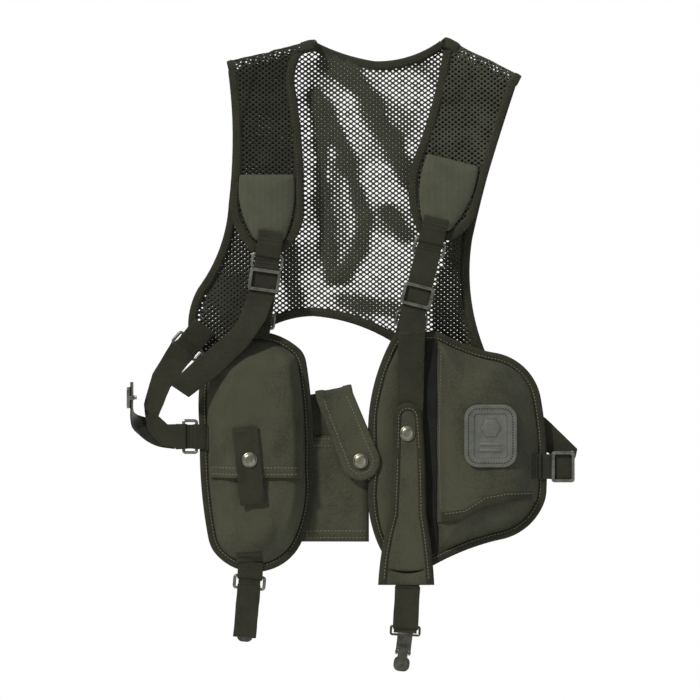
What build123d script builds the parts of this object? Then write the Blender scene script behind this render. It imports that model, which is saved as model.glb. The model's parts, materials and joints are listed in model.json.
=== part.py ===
from build123d import *
import math
import os

# Safety harness vest: a mesh back and yokes, two shoulder pads, a radio pouch, a flat
# middle pouch and a side bag, joined by 25 mm webbing, rectangular rings and sliders.
# Millimetres. +X is to the viewer's right, +Z is up and the front faces -Y. The origin
# lies midway between the two neck points, on the line where the vest hangs.
# "Forward" below is the distance in front of the origin's plane, so Y is minus forward.
# Left and right are as seen from the front.

os.makedirs("parts", exist_ok=True)

# ---- driving dimensions -------------------------------------------------------------
WEB_WIDTH = 25.0          # standard harness webbing
WEB_THICK = 1.4
RING_WIRE = 3.2           # wire of every rectangular ring
RING_WIDTH = 33.0
RING_HEIGHT = 16.0
BAR_GAP = 0.5             # free space between a ring's bar and the webbing around it
CAP_DIAMETER = 15.0       # snap fastener caps
CAP_HEIGHT = 3.6
STUD_DIAMETER = 9.0
STUD_HEIGHT = 1.6
BINDING = 9.0             # folded edge tape, as seen from the front
CLOTH = 1.6               # thickness of a plain nylon wall
GAP = 0.3                 # space between pieces that move past each other
TOUCH = 0.05              # space between sewn layers

MESH_THICK = 2.0
FOLD_RADIUS = 10.0        # outside of the roll over each shoulder
FOLD_CENTRE = -2.0        # forward position of that roll's centre
BACK_TOP = -12.0          # forward position of the back mesh at the shoulders
BACK_SLOPE = 1.5          # degrees that the back mesh leans away below the shoulders
YOKE_FRONT = 8.0          # front face of the front yoke meshes
PAD_THICK = 5.0
PANEL_THICK = 4.0         # stiffened rear walls of the pouch and the bag
POUCH_DEPTH = 26.0        # forward reach of the radio pouch
BAG_DEPTH = 32.0          # forward reach of the side bag
LINING_GAP = 5.0          # flat space inside the middle pouch and the sheath

SHOULDER_BAR = 12.4       # forward position of the shoulder rings
POUCH_BAR = 6.8           # forward position of the rings above the pouch and the bag
LOW_BAR = 3.3             # forward position of the rings beside and below them
CORNER_BAR = -13.5        # forward position of the ring on the back mesh's corner
EMBLEM_THICK = 2.4


# ---- frames and shared shapes -------------------------------------------------------
def front_plane(forward, x=0.0, z=0.0, tilt=0.0):
    """A plane facing forward: local x is across, local y is up."""
    turn = math.radians(tilt)
    across = (math.cos(turn), 0, math.sin(turn))
    return Plane(origin=(x, -forward, z), x_dir=across, z_dir=(0, -1, 0))


def strap_plane(x, z, tilt=0.0, width=WEB_WIDTH):
    """A plane through a strap's left edge: local x is forward, local y runs down it."""
    turn = math.radians(tilt)
    across = Vector(math.cos(turn), 0, math.sin(turn))
    corner = Vector(x, 0, z) - across * (width / 2)
    return Plane(origin=corner, x_dir=(0, -1, 0), z_dir=across)


def save(piece, node):
    piece.part.label = node
    export_step(piece.part, f"parts/{node}.step")


def joined(*pieces):
    with BuildPart() as whole:
        for piece in pieces:
            add(piece.part)
    return whole


def slab(outline, start, end):
    """A flat piece: an outline between two forward positions."""
    with BuildPart() as flat:
        with BuildSketch(front_plane(start)):
            add(outline)
        extrude(amount=end - start)
    return flat


def shrunk(outline, amount):
    """The outline pulled in by an amount all round."""
    with BuildSketch() as face:
        add(outline)
        offset(amount=-amount, mode=Mode.REPLACE)
    return face.sketch


def edge_ring(outline, start, end, width=BINDING):
    """Edge tape around a whole outline, as wide as the tape shows from the front."""
    with BuildPart() as tape:
        with BuildSketch(front_plane(start)):
            add(outline)
            add(shrunk(outline, width), mode=Mode.SUBTRACT)
        extrude(amount=end - start)
    return tape


def web_loop(x, z, bar, legs, tilt=0.0, side=1, width=WEB_WIDTH, wire=RING_WIRE):
    """Webbing turned round a ring's bar; side 1 hangs down from it, side -1 stands up."""
    inner = wire / 2 + BAR_GAP
    outer = inner + WEB_THICK
    front_leg, rear_leg = (side * leg for leg in legs)
    with BuildPart() as loop:
        with BuildSketch(strap_plane(x, z, tilt, width)):
            with BuildLine():
                Line((bar - outer, rear_leg), (bar - outer, 0))
                ThreePointArc((bar - outer, 0), (bar, -side * outer), (bar + outer, 0))
                Line((bar + outer, 0), (bar + outer, front_leg))
                Line((bar + outer, front_leg), (bar + inner, front_leg))
                Line((bar + inner, front_leg), (bar + inner, 0))
                ThreePointArc((bar + inner, 0), (bar, -side * inner), (bar - inner, 0))
                Line((bar - inner, 0), (bar - inner, rear_leg))
                Line((bar - inner, rear_leg), (bar - outer, rear_leg))
            make_face()
        extrude(amount=width)
    return loop


def ring(x, z, bar, tilt=0.0, width=RING_WIDTH, height=RING_HEIGHT, wire=RING_WIRE):
    """A rectangular ring of round wire, lying in a plane that faces forward."""
    with BuildSketch(front_plane(bar, x, z, tilt)) as middle:
        RectangleRounded(width - wire, height - wire, wire / 2 + 0.4)
    route = middle.sketch.faces()[0].outer_wire()
    with BuildPart() as loop:
        with BuildSketch(Plane(origin=route @ 0, z_dir=route % 0)):
            Circle(wire / 2)
        sweep(path=route)
    return loop


def slider(x, z, webbing, tilt=0.0, width=31.0, height=22.0, bar=3.0):
    """A three-bar slider: outer bars in front of the webbing, middle bar behind it."""
    front = webbing + WEB_THICK + GAP
    rear = webbing - GAP - bar
    depth = front + bar - rear
    post = (width - WEB_WIDTH) / 2 - 0.8
    with BuildPart() as frame:
        with BuildSketch(front_plane(front, x, z, tilt)):
            RectangleRounded(width, height, 3.0)
            RectangleRounded(width - 2 * bar, height - 2 * bar, 1.2, mode=Mode.SUBTRACT)
        extrude(amount=bar)
        with BuildSketch(front_plane(rear, x, z, tilt)):
            with Locations((-(width - post) / 2, 0), ((width - post) / 2, 0)):
                Rectangle(post, bar + 1)
        extrude(amount=depth)
        with BuildSketch(front_plane(rear, x, z, tilt)):
            Rectangle(width, bar)
        extrude(amount=bar)
    return frame


def snap_cap(x, z, base):
    """The domed cap of a snap fastener, with its rolled rim."""
    radius = CAP_DIAMETER / 2
    section = Plane(origin=(x, -base, z), x_dir=(1, 0, 0), z_dir=(0, 0, 1))
    with BuildPart() as cap:
        with BuildSketch(section):
            with BuildLine():
                Line((0, 0), (radius - 0.6, 0))
                ThreePointArc((radius - 0.6, 0), (radius, -0.7), (radius - 0.4, -1.4))
                ThreePointArc((radius - 0.4, -1.4), (radius * 0.6, -3.0), (1, -CAP_HEIGHT))
                Line((1, -CAP_HEIGHT), (0, -CAP_HEIGHT))
                Line((0, -CAP_HEIGHT), (0, 0))
            make_face()
        revolve(axis=Axis((x, -base, z), (0, 1, 0)))
    return cap


def snap_stud(x, z, base):
    """The socket half of a snap fastener: a flange with its ball."""
    with BuildPart() as stud:
        with BuildSketch(front_plane(base, x, z)):
            Circle(STUD_DIAMETER / 2)
        extrude(amount=0.6)
        with BuildSketch(front_plane(base + 0.6, x, z)):
            Circle(STUD_DIAMETER / 4)
        extrude(amount=STUD_HEIGHT - 0.6)
    return stud


# ---- outlines, as seen from the front -----------------------------------------------
def curve(*points):
    """A chain of arcs: every second point is a joint, those between lie on the arcs."""
    for start, middle, end in zip(points[0::2], points[1::2], points[2::2]):
        ThreePointArc(start, middle, end)


def back_outline():
    with BuildSketch() as face:
        with BuildLine():
            Line((-66, -2), (-153, -24))
            curve((-153, -24), (-148, -100), (-152, -165))
            curve((-152, -165), (-162, -212), (-183, -250), (-193, -287), (-186, -320))
            Line((-186, -320), (-150, -325))
            curve((-150, -325), (-107, -287), (-67, -278), (-15, -290), (40, -325))
            Line((40, -325), (108, -318))
            curve((108, -318), (92, -260), (93, -200), (113, -120), (139, -38))
            Line((139, -38), (65, 2))
            curve((65, 2), (30, -17), (-5, -22), (-35, -15), (-66, -2))
        make_face()
    return face.sketch


def left_yoke_outline():
    with BuildSketch() as face:
        with BuildLine():
            Line((-66, -2), (-153, -24))
            curve((-153, -24), (-147, -95), (-150, -167), (-143, -193), (-127, -214))
            Line((-127, -214), (-95, -214))
            curve((-95, -214), (-80, -193), (-76, -165), (-78, -105), (-85, -48), (-80, -20), (-66, -2))
        make_face()
    return face.sketch


def right_yoke_outline():
    with BuildSketch() as face:
        with BuildLine():
            Line((65, 2), (139, -38))
            curve((139, -38), (117, -106), (97, -174), (86, -192), (68, -203))
            Line((68, -203), (40, -198))
            curve((40, -198), (29, -165), (34, -120), (53, -62), (65, 2))
        make_face()
    return face.sketch


def left_pad_outline():
    with BuildSketch() as face:
        with BuildLine():
            Line((-140, -137), (-86, -137))
            curve((-86, -137), (-86.5, -172), (-96, -203))
            Line((-96, -203), (-124, -203))
            curve((-124, -203), (-138, -174), (-140, -137))
        make_face()
    return face.sketch


def right_pad_outline():
    with BuildSketch() as face:
        with BuildLine():
            Line((47, -116), (98, -129))
            curve((98, -129), (87, -168), (68, -194))
            Line((68, -194), (44, -190))
            curve((44, -190), (39, -155), (47, -116))
        make_face()
    return face.sketch


def pouch_outline():
    with BuildSketch() as face:
        with BuildLine():
            ThreePointArc((-176, -316), (-125, -293), (-75, -316))
            curve((-75, -316), (-68, -372), (-67, -430), (-69, -476), (-80, -508))
            ThreePointArc((-80, -508), (-127, -534), (-170, -508))
            curve((-170, -508), (-178, -455), (-180, -395), (-181, -352), (-176, -316))
        make_face()
    return face.sketch


def bag_outline():
    with BuildSketch() as face:
        with BuildLine():
            Line((15, -295), (58, -293))
            curve((58, -293), (80, -304), (110, -314), (146, -331), (161, -362), (166, -405), (166, -458))
            curve((166, -458), (150, -486), (117, -502), (88, -511), (50, -529))
            Line((50, -529), (4, -518))
            curve((4, -518), (-9, -485), (-9, -430), (-7, -350), (15, -295))
        make_face()
    return face.sketch


def shell_outline():
    with BuildSketch() as face:
        with BuildLine():
            ThreePointArc((57, -304), (110, -317), (146, -344))
            ThreePointArc((146, -344), (155, -370), (157, -400))
            Line((157, -400), (157, -455))
            TangentArc((157, -455), (125, -488), tangent=(0, -1))
            ThreePointArc((125, -488), (88, -497), (57, -515))
            Line((57, -515), (57, -304))
        make_face()
    return face.sketch


def pouch_shell_outline():
    with BuildSketch() as face:
        with BuildLine():
            ThreePointArc((-173, -330), (-125, -303), (-77, -330))
            Line((-77, -330), (-77, -488))
            ThreePointArc((-77, -488), (-125, -513), (-173, -488))
            Line((-173, -488), (-173, -330))
        make_face()
        fillet(face.vertices(), 14)
    return face.sketch


def middle_back_outline():
    with BuildSketch() as face:
        with BuildLine():
            Polyline((-66, -356), (-30, -348.5), (-12, -395), (-11, -504))
            Polyline((-11, -504), (-78, -504), (-78, -358), (-66, -356))
        make_face()
    return face.sketch


def middle_flap_outline():
    with BuildSketch() as face:
        with BuildLine():
            Line((-66, -355), (-30, -347.5))
            Line((-30, -347.5), (-3, -412))
            ThreePointArc((-3, -412), (-17, -442), (-37, -431))
            Line((-37, -431), (-66, -355))
        make_face()
    return face.sketch


def sheath_outline():
    with BuildSketch() as face:
        with BuildLine():
            ThreePointArc((13, -379), (27.5, -364.5), (42, -379))
            curve((42, -379), (45, -425), (46, -475), (51, -510), (54, -546))
            Line((54, -546), (-2, -546))
            curve((-2, -546), (2, -510), (10, -475), (12, -425), (13, -379))
        make_face()
    return face.sketch


# ---- back panel, yokes, pads and edge tapes -----------------------------------------
def back_slab(outline, start, end):
    """A flat piece in the leaning plane of the back, between two depths behind it."""
    lean = math.radians(BACK_SLOPE)
    facing = (0, -math.cos(lean), -math.sin(lean))
    leaning = Plane(origin=(0, -BACK_TOP, 0), x_dir=(1, 0, 0), z_dir=facing)
    with BuildPart() as sheet:
        with BuildSketch(leaning.offset(start)):
            add(outline)
        extrude(amount=end - start)
    return sheet


def window(x_low, x_high, z_low, z_high):
    with BuildSketch() as face:
        with Locations(((x_low + x_high) / 2, (z_low + z_high) / 2)):
            Rectangle(x_high - x_low, z_high - z_low)
    return face.sketch


def tape_in(outline, *limits):
    """The part of an outline's edge tape that lies inside one window."""
    with BuildSketch() as strip:
        add(outline)
        add(shrunk(outline, BINDING - TOUCH), mode=Mode.SUBTRACT)
        add(window(*limits), mode=Mode.INTERSECT)
    return strip.sketch


LEFT_ROLL = ((-153, -34), (-70, -13))
RIGHT_ROLL = ((69, -12), (139, -48))


def below_rolls(outline):
    """What an outline keeps under the two shoulder rolls."""
    with BuildSketch() as kept:
        add(outline)
        for start, end in (LEFT_ROLL, RIGHT_ROLL):
            run = Vector(end[0] - start[0], end[1] - start[1]).normalized()
            rise = Vector(-run.Y, run.X) * 45
            base = Vector(*start) - run * 12 - rise.normalized() * TOUCH
            tip = Vector(*end) + run * 4 - rise.normalized() * TOUCH
            with BuildLine():
                Polyline(base, tip, tip + rise, base + rise, close=True)
            make_face(mode=Mode.SUBTRACT)
    return kept.sketch


def back_binding(*limits):
    strip = below_rolls(tape_in(back_outline(), *limits))
    return back_slab(strip, -0.5, MESH_THICK + 0.5)


save(back_slab(below_rolls(shrunk(back_outline(), BINDING)), 0, MESH_THICK), "back_mesh_panel")
neck_tape = back_binding(-66, 65, -60, 10)
left_armhole_tape = back_binding(-200, -138.5, -293, -52)
right_armhole_tape = back_binding(78, 150, -330, -30)
hem_tape = back_binding(-110, 60, -330, -260)
save(joined(neck_tape, left_armhole_tape, right_armhole_tape, hem_tape), "back_binding")


def shoulder_roll(start, end):
    """The mesh rolled over the shoulder between two points of the fold line."""
    run = Vector(end[0] - start[0], 0, end[1] - start[1])
    base = Plane(origin=(start[0], -FOLD_CENTRE, start[1]), x_dir=(0, -1, 0), z_dir=run)
    inner = FOLD_RADIUS - MESH_THICK
    with BuildPart() as roll:
        with BuildSketch(base):
            with BuildLine():
                ThreePointArc((FOLD_RADIUS, 0), (0, -FOLD_RADIUS), (-FOLD_RADIUS, 0))
                Line((-FOLD_RADIUS, 0), (-inner, 0))
                ThreePointArc((-inner, 0), (0, -inner), (inner, 0))
                Line((inner, 0), (FOLD_RADIUS, 0))
            make_face()
        extrude(amount=run.length)
    return roll


YOKE_REAR = YOKE_FRONT - MESH_THICK
PAD_REAR = YOKE_FRONT + 1 + TOUCH
left_side = (left_yoke_outline(), left_pad_outline(), LEFT_ROLL, (-200, -60, -300, -14))
right_side = (right_yoke_outline(), right_pad_outline(), RIGHT_ROLL, (0, 200, -300, -13))
for side, (yoke, pad, roll_line, limits) in {"left": left_side, "right": right_side}.items():
    yoke_mesh = below_rolls(shrunk(yoke, BINDING))
    flat_yoke = slab(yoke_mesh, YOKE_REAR, YOKE_FRONT)
    save(joined(flat_yoke, shoulder_roll(*roll_line)), f"{side}_shoulder_mesh")
    yoke_tape = below_rolls(tape_in(yoke, *limits))
    save(slab(yoke_tape, YOKE_REAR - 1, YOKE_FRONT + 1), f"{side}_yoke_binding")
    with BuildPart() as shoulder_pad:
        with BuildSketch(front_plane(PAD_REAR)):
            add(pad)
        extrude(amount=PAD_THICK)
        chamfer(shoulder_pad.faces().sort_by(Axis.Y)[0].edges(), 1.5)
    save(shoulder_pad, f"{side}_shoulder_pad")

# ---- shoulder hardware: sewn tab, ring, slider, strap and its free tail ---------------
LEFT_RING = (-112.5, -224.0, -8.0)       # x, z and tilt
RIGHT_RING = (49.0, -210.0, -14.0)
BAR_OFFSET = (RING_HEIGHT - RING_WIRE) / 2
WEB_INNER = RING_WIRE / 2 + BAR_GAP
FRONT_LEG = SHOULDER_BAR + WEB_INNER     # rear face of the webbing in front of the rings


def along(x, z, tilt, distance):
    """A point that lies a distance up a tilted strap from another."""
    turn = math.radians(tilt)
    return x - distance * math.sin(turn), z + distance * math.cos(turn)


def draped_web(corners, route, thickness=WEB_THICK):
    """Webbing with a given front view that follows a route of (forward, z) points."""
    near = [(-forward, z) for forward, z in route]
    far = [(-forward - thickness, z) for forward, z in route]
    with BuildPart() as web:
        with BuildSketch(Plane.YZ.offset(-300)):
            with BuildLine():
                Polyline(*near, *reversed(far), close=True)
            make_face()
        extrude(amount=600)
        with BuildSketch(front_plane(-60)):
            with BuildLine():
                Polyline(*corners, close=True)
            make_face()
        extrude(amount=120, mode=Mode.INTERSECT)
    return web


left_tail_corners = [
    (-131, -256), (-105, -258), (-114, -283), (-131, -308), (-160, -336),
    (-190, -359), (-209, -346), (-180, -319), (-157, -302), (-142, -285),
]
left_tail_route = [(FRONT_LEG, -254), (FRONT_LEG, -262), (27.0, -298), (27.0, -342), (21.0, -362)]
right_tail_corners = [(21, -274), (46, -278), (44.5, -300), (39.5, -544), (14.5, -544), (18, -300)]
right_tail_route = [(FRONT_LEG, -270), (FRONT_LEG, -296), (8.5, -340), (8.5, -548)]
left_tail = draped_web(left_tail_corners, left_tail_route)
right_tail = draped_web(right_tail_corners, right_tail_route)


def shoulder_hardware(side, ring_place, slider_drop, legs, tail):
    """Everything between a pad and the bag or pouch that hangs from it."""
    x, z, tilt = ring_place
    save(ring(x, z, SHOULDER_BAR, tilt), f"{side}_shoulder_ring")
    upper = along(x, z, tilt, BAR_OFFSET)
    save(web_loop(*upper, SHOULDER_BAR, (24, 1.5), tilt, side=-1), f"{side}_pad_tab")
    lower = along(x, z, tilt, -BAR_OFFSET)
    down = web_loop(*lower, SHOULDER_BAR, legs, tilt)
    next_bar = along(*lower, tilt, -legs[1])
    back_up = web_loop(*next_bar, POUCH_BAR, (4, 2), tilt, side=-1)
    save(joined(down, back_up, tail), f"{side}_shoulder_strap")
    place = along(*lower, tilt, -slider_drop)
    save(slider(*place, FRONT_LEG, tilt), f"{side}_shoulder_slider")
    centre = along(*next_bar, tilt, -BAR_OFFSET)
    save(ring(*centre, POUCH_BAR, tilt), f"{side}_load_ring")
    hanging = along(*centre, tilt, -BAR_OFFSET)
    save(web_loop(*hanging, POUCH_BAR, (11, 1), tilt), f"{side}_load_tab")


shoulder_hardware("left", LEFT_RING, 12.5, (30, 46), left_tail)
shoulder_hardware("right", RIGHT_RING, 43.0, (62, 62), right_tail)

# ---- radio pouch ---------------------------------------------------------------------
TOP_LINE = -354.3          # below this line the pouch's cover is a flap
FLAP_HEM = -439.0
MOUTH = -405.0             # top of the pouch's front wall, under the flap
SNAP_LINE = -420.7
SEAM = 10.0                # rounding of the pouch's and the bag's front edges
FLAP_REAR = POUCH_DEPTH + STUD_HEIGHT + GAP
FLAP_FRONT = FLAP_REAR + 1.8

save(slab(shrunk(pouch_outline(), BINDING), 0, PANEL_THICK), "pouch_rear_panel")
save(edge_ring(pouch_outline(), -0.5, PANEL_THICK + 1, BINDING - TOUCH), "pouch_binding")


def bulged(outline, start, reach, rounding):
    """A soft box: an outline carried forward, with its front edges rounded."""
    with BuildPart() as box:
        with BuildSketch(front_plane(start)):
            add(outline)
        extrude(amount=reach - start)
        fillet(box.faces().sort_by(Axis.Y)[0].edges(), rounding)
    return box


def hollow(outline, start, reach, rounding):
    """The soft box as a cloth wall, open at the rear."""
    with BuildPart() as shell:
        add(bulged(outline, start, reach, rounding).part)
        inside = bulged(shrunk(outline, CLOTH), start - 1, reach - CLOTH, rounding - CLOTH)
        add(inside.part, mode=Mode.SUBTRACT)
    return shell


def cut_window(piece, limits, start=-60, end=60):
    """The part of a piece inside a window, between two forward positions."""
    with BuildPart() as kept:
        add(piece.part)
        with BuildSketch(front_plane(start)):
            add(window(*limits))
        extrude(amount=end - start, mode=Mode.INTERSECT)
    return kept


def cut_out(piece, limits, start=-60, end=60):
    """A piece without what lies inside a window, between two forward positions."""
    with BuildPart() as kept:
        add(piece.part)
        with BuildSketch(front_plane(start)):
            add(window(*limits))
        extrude(amount=end - start, mode=Mode.SUBTRACT)
    return kept


wall_start = PANEL_THICK + 1 + TOUCH
pouch_shell = hollow(pouch_shell_outline(), wall_start, POUCH_DEPTH, SEAM)
save(cut_window(pouch_shell, (-200, -60, TOP_LINE, -290)), "pouch_hood")
pouch_body = cut_window(pouch_shell, (-200, -60, -530, TOP_LINE - TOUCH))
save(cut_out(pouch_body, (-168, -82, MOUTH, -350), start=12), "pouch_body")

HINGE_LINE = TOP_LINE - 1.2 - GAP
with BuildPart() as pouch_flap:
    with BuildSketch(front_plane(FLAP_REAR)):
        add(window(-172, -78, FLAP_HEM, HINGE_LINE))
    extrude(amount=FLAP_FRONT - FLAP_REAR)
    fillet(pouch_flap.edges().filter_by(Axis.Y).group_by(Axis.Z)[0], 4)
save(pouch_flap, "pouch_flap")

PULL_TAB = (-130.2, -426.5, 5.6)         # centre x, z and tilt
PULL_TAB_LENGTH = 77.0
with BuildPart() as pull_tab:
    with BuildSketch(front_plane(FLAP_FRONT + TOUCH, *PULL_TAB)):
        Rectangle(WEB_WIDTH, PULL_TAB_LENGTH)
    extrude(amount=WEB_THICK)
save(pull_tab, "pouch_pull_tab")
POUCH_SNAP = (-129.5, SNAP_LINE)
save(snap_cap(*POUCH_SNAP, FLAP_FRONT + 2 * TOUCH + WEB_THICK), "pouch_snap_cap")
pouch_stud = snap_stud(*POUCH_SNAP, POUCH_DEPTH + TOUCH)

# ---- rings, straps and clip around the pouch -----------------------------------------
SIDE_RING = (-189.7, -398.5, 90.0)
LOW_RING = (-130.5, -544.0, -5.0)
CORNER_RING = (-193.0, -308.0, -41.0)

save(ring(*SIDE_RING[:2], LOW_BAR, SIDE_RING[2], width=35.0), "pouch_side_ring")
side_bar = along(*SIDE_RING, -BAR_OFFSET)
save(web_loop(*side_bar, LOW_BAR, (9.5, 1), SIDE_RING[2]), "pouch_side_tab")

save(ring(*CORNER_RING[:2], CORNER_BAR, CORNER_RING[2]), "corner_ring")
corner_bar = along(*CORNER_RING, BAR_OFFSET)
save(web_loop(*corner_bar, CORNER_BAR, (20, 1), CORNER_RING[2], side=-1), "corner_tab")

corner_low = along(*CORNER_RING, -BAR_OFFSET)
ring_left = along(*SIDE_RING, BAR_OFFSET)
CORNER_FRONT = CORNER_BAR + WEB_INNER
LOW_FRONT = LOW_BAR + WEB_INNER
front_run = [(-209, -304), (-190, -323), (-210, -350), (-221, -378), (-212, -386), (-194, -386),
             (-194, -411), (-218, -408), (-232, -392), (-236, -366), (-228, -336)]
front_route = [(CORNER_FRONT, -296), (CORNER_FRONT, -322), (LOW_FRONT, -375), (LOW_FRONT, -420)]
over_corner = web_loop(*corner_low, CORNER_BAR, (8, 3), CORNER_RING[2])
over_side = web_loop(*ring_left, LOW_BAR, (8, 8), SIDE_RING[2], side=-1)
front_web = draped_web(front_run, front_route)

# The strap's far end turns edge-on through its slider.
TURN_X = -247.0
TURN_REAR = -6.0
with BuildPart() as turned_web:
    with BuildSketch(Plane.YZ.offset(TURN_X)):
        with Locations((-TURN_REAR - WEB_WIDTH / 2, -376)):
            Rectangle(WEB_WIDTH, 64)
    extrude(amount=-WEB_THICK)
lower_run = [(-246.9, -384), (-246.9, -404), (-226, -411), (-204.5, -411), (-204.5, -388), (-228, -388)]
with BuildPart() as lower_web:
    with BuildSketch(front_plane(LOW_BAR - WEB_INNER - WEB_THICK)):
        with BuildLine():
            Polyline(*lower_run, close=True)
        make_face()
    extrude(amount=WEB_THICK)
save(joined(front_web, over_corner, over_side, turned_web, lower_web), "left_side_strap")


def facing_left_slider(x, y, z, width=31.0, height=21.0, bar=3.0):
    """A slider turned edge-on, around webbing whose outer face looks to the left."""
    outer = Plane(origin=(x - WEB_THICK - GAP, y, z), x_dir=(0, 1, 0), z_dir=(-1, 0, 0))
    inner = Plane(origin=(x + GAP + bar, y, z), x_dir=(0, 1, 0), z_dir=(-1, 0, 0))
    depth = 2 * bar + WEB_THICK + 2 * GAP
    post = (width - WEB_WIDTH) / 2 - 0.8
    with BuildPart() as frame:
        with BuildSketch(outer):
            RectangleRounded(width, height, 3.0)
            RectangleRounded(width - 2 * bar, height - 2 * bar, 1.2, mode=Mode.SUBTRACT)
        extrude(amount=bar)
        with BuildSketch(inner):
            with Locations((-(width - post) / 2, 0), ((width - post) / 2, 0)):
                Rectangle(post, bar + 1)
        extrude(amount=depth)
        with BuildSketch(inner):
            Rectangle(width, bar)
        extrude(amount=bar)
    return frame


save(facing_left_slider(TURN_X, -TURN_REAR - WEB_WIDTH / 2, -359.5), "left_side_slider")

save(ring(*LOW_RING[:2], LOW_BAR, LOW_RING[2], height=15.0), "leg_ring")
low_offset = (15.0 - RING_WIRE) / 2
low_top = along(*LOW_RING, low_offset)
save(web_loop(*low_top, LOW_BAR, (16, 1), LOW_RING[2], side=-1), "leg_tab")
low_bottom = along(*LOW_RING, -low_offset)
LEG_LENGTH = 46.0
LEG_WIDTH = 23.0
leg_down = web_loop(*low_bottom, LOW_BAR, (LEG_LENGTH, LEG_LENGTH), LOW_RING[2], width=LEG_WIDTH)
leg_end = along(*low_bottom, LOW_RING[2], -LEG_LENGTH)
leg_back = web_loop(*leg_end, LOW_BAR, (2, 2), LOW_RING[2], side=-1, width=LEG_WIDTH)
save(joined(leg_down, leg_back), "leg_strap")

# ---- garter clips ----------------------------------------------------------------------
CLIP_WIDTH = 15.0
CLIP_PLATE = 1.4
CLIP_BODY = 13.0           # length of the clip's upper plate
CLIP_JAW = 15.0            # length of its hinged jaw below the barrel
JAW_DROP = 4.0             # from the pin down to the jaw's plate, clear of the ears
PIN_DIAMETER = 2.0
BARREL = 4.6
EAR = 2.2


def clip(prefix, x, z, tilt, rear):
    """A garter clip hanging down from a point: body with ears, hinge pin and jaw."""
    pin_forward = rear + CLIP_PLATE / 2
    pin_x, pin_z = along(x, z, tilt, -CLIP_BODY - BARREL / 2)
    plate = front_plane(rear, x, z, tilt)
    with BuildPart() as body:
        with BuildSketch(plate):
            with Locations((0, -CLIP_BODY / 2)):
                Rectangle(CLIP_WIDTH, CLIP_BODY)
        extrude(amount=CLIP_PLATE)
        for side in (-1, 1):
            ear_x = x + side * (CLIP_WIDTH - EAR) / 2 * math.cos(math.radians(tilt))
            ear_z = z + side * (CLIP_WIDTH - EAR) / 2 * math.sin(math.radians(tilt))
            with BuildSketch(strap_plane(ear_x, ear_z, tilt, EAR)):
                with Locations((pin_forward, CLIP_BODY + BARREL / 2 - 1.5)):
                    Rectangle(BARREL, BARREL + 3)
                with Locations((pin_forward, CLIP_BODY + BARREL / 2)):
                    Circle(PIN_DIAMETER / 2 + TOUCH, mode=Mode.SUBTRACT)
            extrude(amount=EAR)
    with BuildPart() as pin:
        with BuildSketch(strap_plane(pin_x, pin_z, tilt, CLIP_WIDTH + 1)):
            with Locations((pin_forward, 0)):
                Circle(PIN_DIAMETER / 2)
        extrude(amount=CLIP_WIDTH + 1)
    barrel_width = CLIP_WIDTH - 2 * EAR - 2 * GAP
    with BuildPart() as jaw:
        with BuildSketch(strap_plane(pin_x, pin_z, tilt, barrel_width)):
            with Locations((pin_forward, 0)):
                Circle(BARREL / 2 - 0.1)
            with Locations((pin_forward, JAW_DROP / 2 + 0.5)):
                Rectangle(CLIP_PLATE, JAW_DROP)
            with Locations((pin_forward, 0)):
                Circle(PIN_DIAMETER / 2 + 0.1, mode=Mode.SUBTRACT)
        extrude(amount=barrel_width)
        with BuildSketch(front_plane(rear, pin_x, pin_z, tilt)):
            with Locations((0, -JAW_DROP - CLIP_JAW / 2)):
                RectangleRounded(CLIP_WIDTH + 1, CLIP_JAW, 6)
        extrude(amount=CLIP_PLATE)
    save(pin, f"{prefix}_clip_pin")
    save(jaw, f"{prefix}_clip_jaw")
    return body


leg_clip_top = along(*leg_end, LOW_RING[2], 26)
leg_clip_rear = LOW_BAR - WEB_INNER - WEB_THICK - GAP - BARREL / 2 - CLIP_PLATE / 2
save(clip("leg", *leg_clip_top, LOW_RING[2], leg_clip_rear), "leg_clip_body")

DROP_BAR = 8.0             # forward position of the bars under the sheath
DROP_TILT = -3.0
DROP_WIRE = 2.4
DROP_LENGTH = 40.0
DROP_TOP = (27.4, -547.8)
drop_end = along(*DROP_TOP, DROP_TILT, -DROP_LENGTH)
drop_legs = (DROP_LENGTH, DROP_LENGTH - 8)
drop_web = web_loop(*drop_end, DROP_BAR, drop_legs, DROP_TILT, side=-1, wire=DROP_WIRE)
save(drop_web, "drop_strap")
LOOP_HEIGHT = 10.7
loop_offset = (LOOP_HEIGHT - DROP_WIRE) / 2
CLIP_TILT = -7.0
loop_centre = along(*drop_end, DROP_TILT, -loop_offset)
save(ring(*loop_centre, DROP_BAR, DROP_TILT, 31.0, LOOP_HEIGHT, DROP_WIRE), "clip_loop")
loop_low = along(*loop_centre, DROP_TILT, -loop_offset)
hook = web_loop(*loop_low, DROP_BAR, (4, 4), CLIP_TILT, width=CLIP_WIDTH, wire=DROP_WIRE)
clip_rear = DROP_BAR + DROP_WIRE / 2 + BAR_GAP
drop_body = clip("drop", *along(*loop_low, CLIP_TILT, -2), CLIP_TILT, clip_rear)
save(joined(hook, drop_body), "drop_clip_body")

# ---- flat middle pouch ---------------------------------------------------------------
MIDDLE_REAR = -9.5
MIDDLE_FRONT = MIDDLE_REAR + 2 * CLOTH + LINING_GAP
with BuildPart() as middle_pouch:
    with BuildSketch(front_plane(MIDDLE_REAR)):
        add(middle_back_outline())
    extrude(amount=CLOTH)
    with BuildSketch(front_plane(MIDDLE_REAR)):
        add(window(-78, -11, -504, -398))
        add(window(-78 + CLOTH, -11 - CLOTH, -504 + CLOTH, -390), mode=Mode.SUBTRACT)
    extrude(amount=MIDDLE_FRONT - MIDDLE_REAR)
    with BuildSketch(front_plane(MIDDLE_FRONT - CLOTH)):
        add(window(-78, -11, -504, -398))
    extrude(amount=CLOTH)
save(middle_pouch, "middle_pouch")

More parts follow.
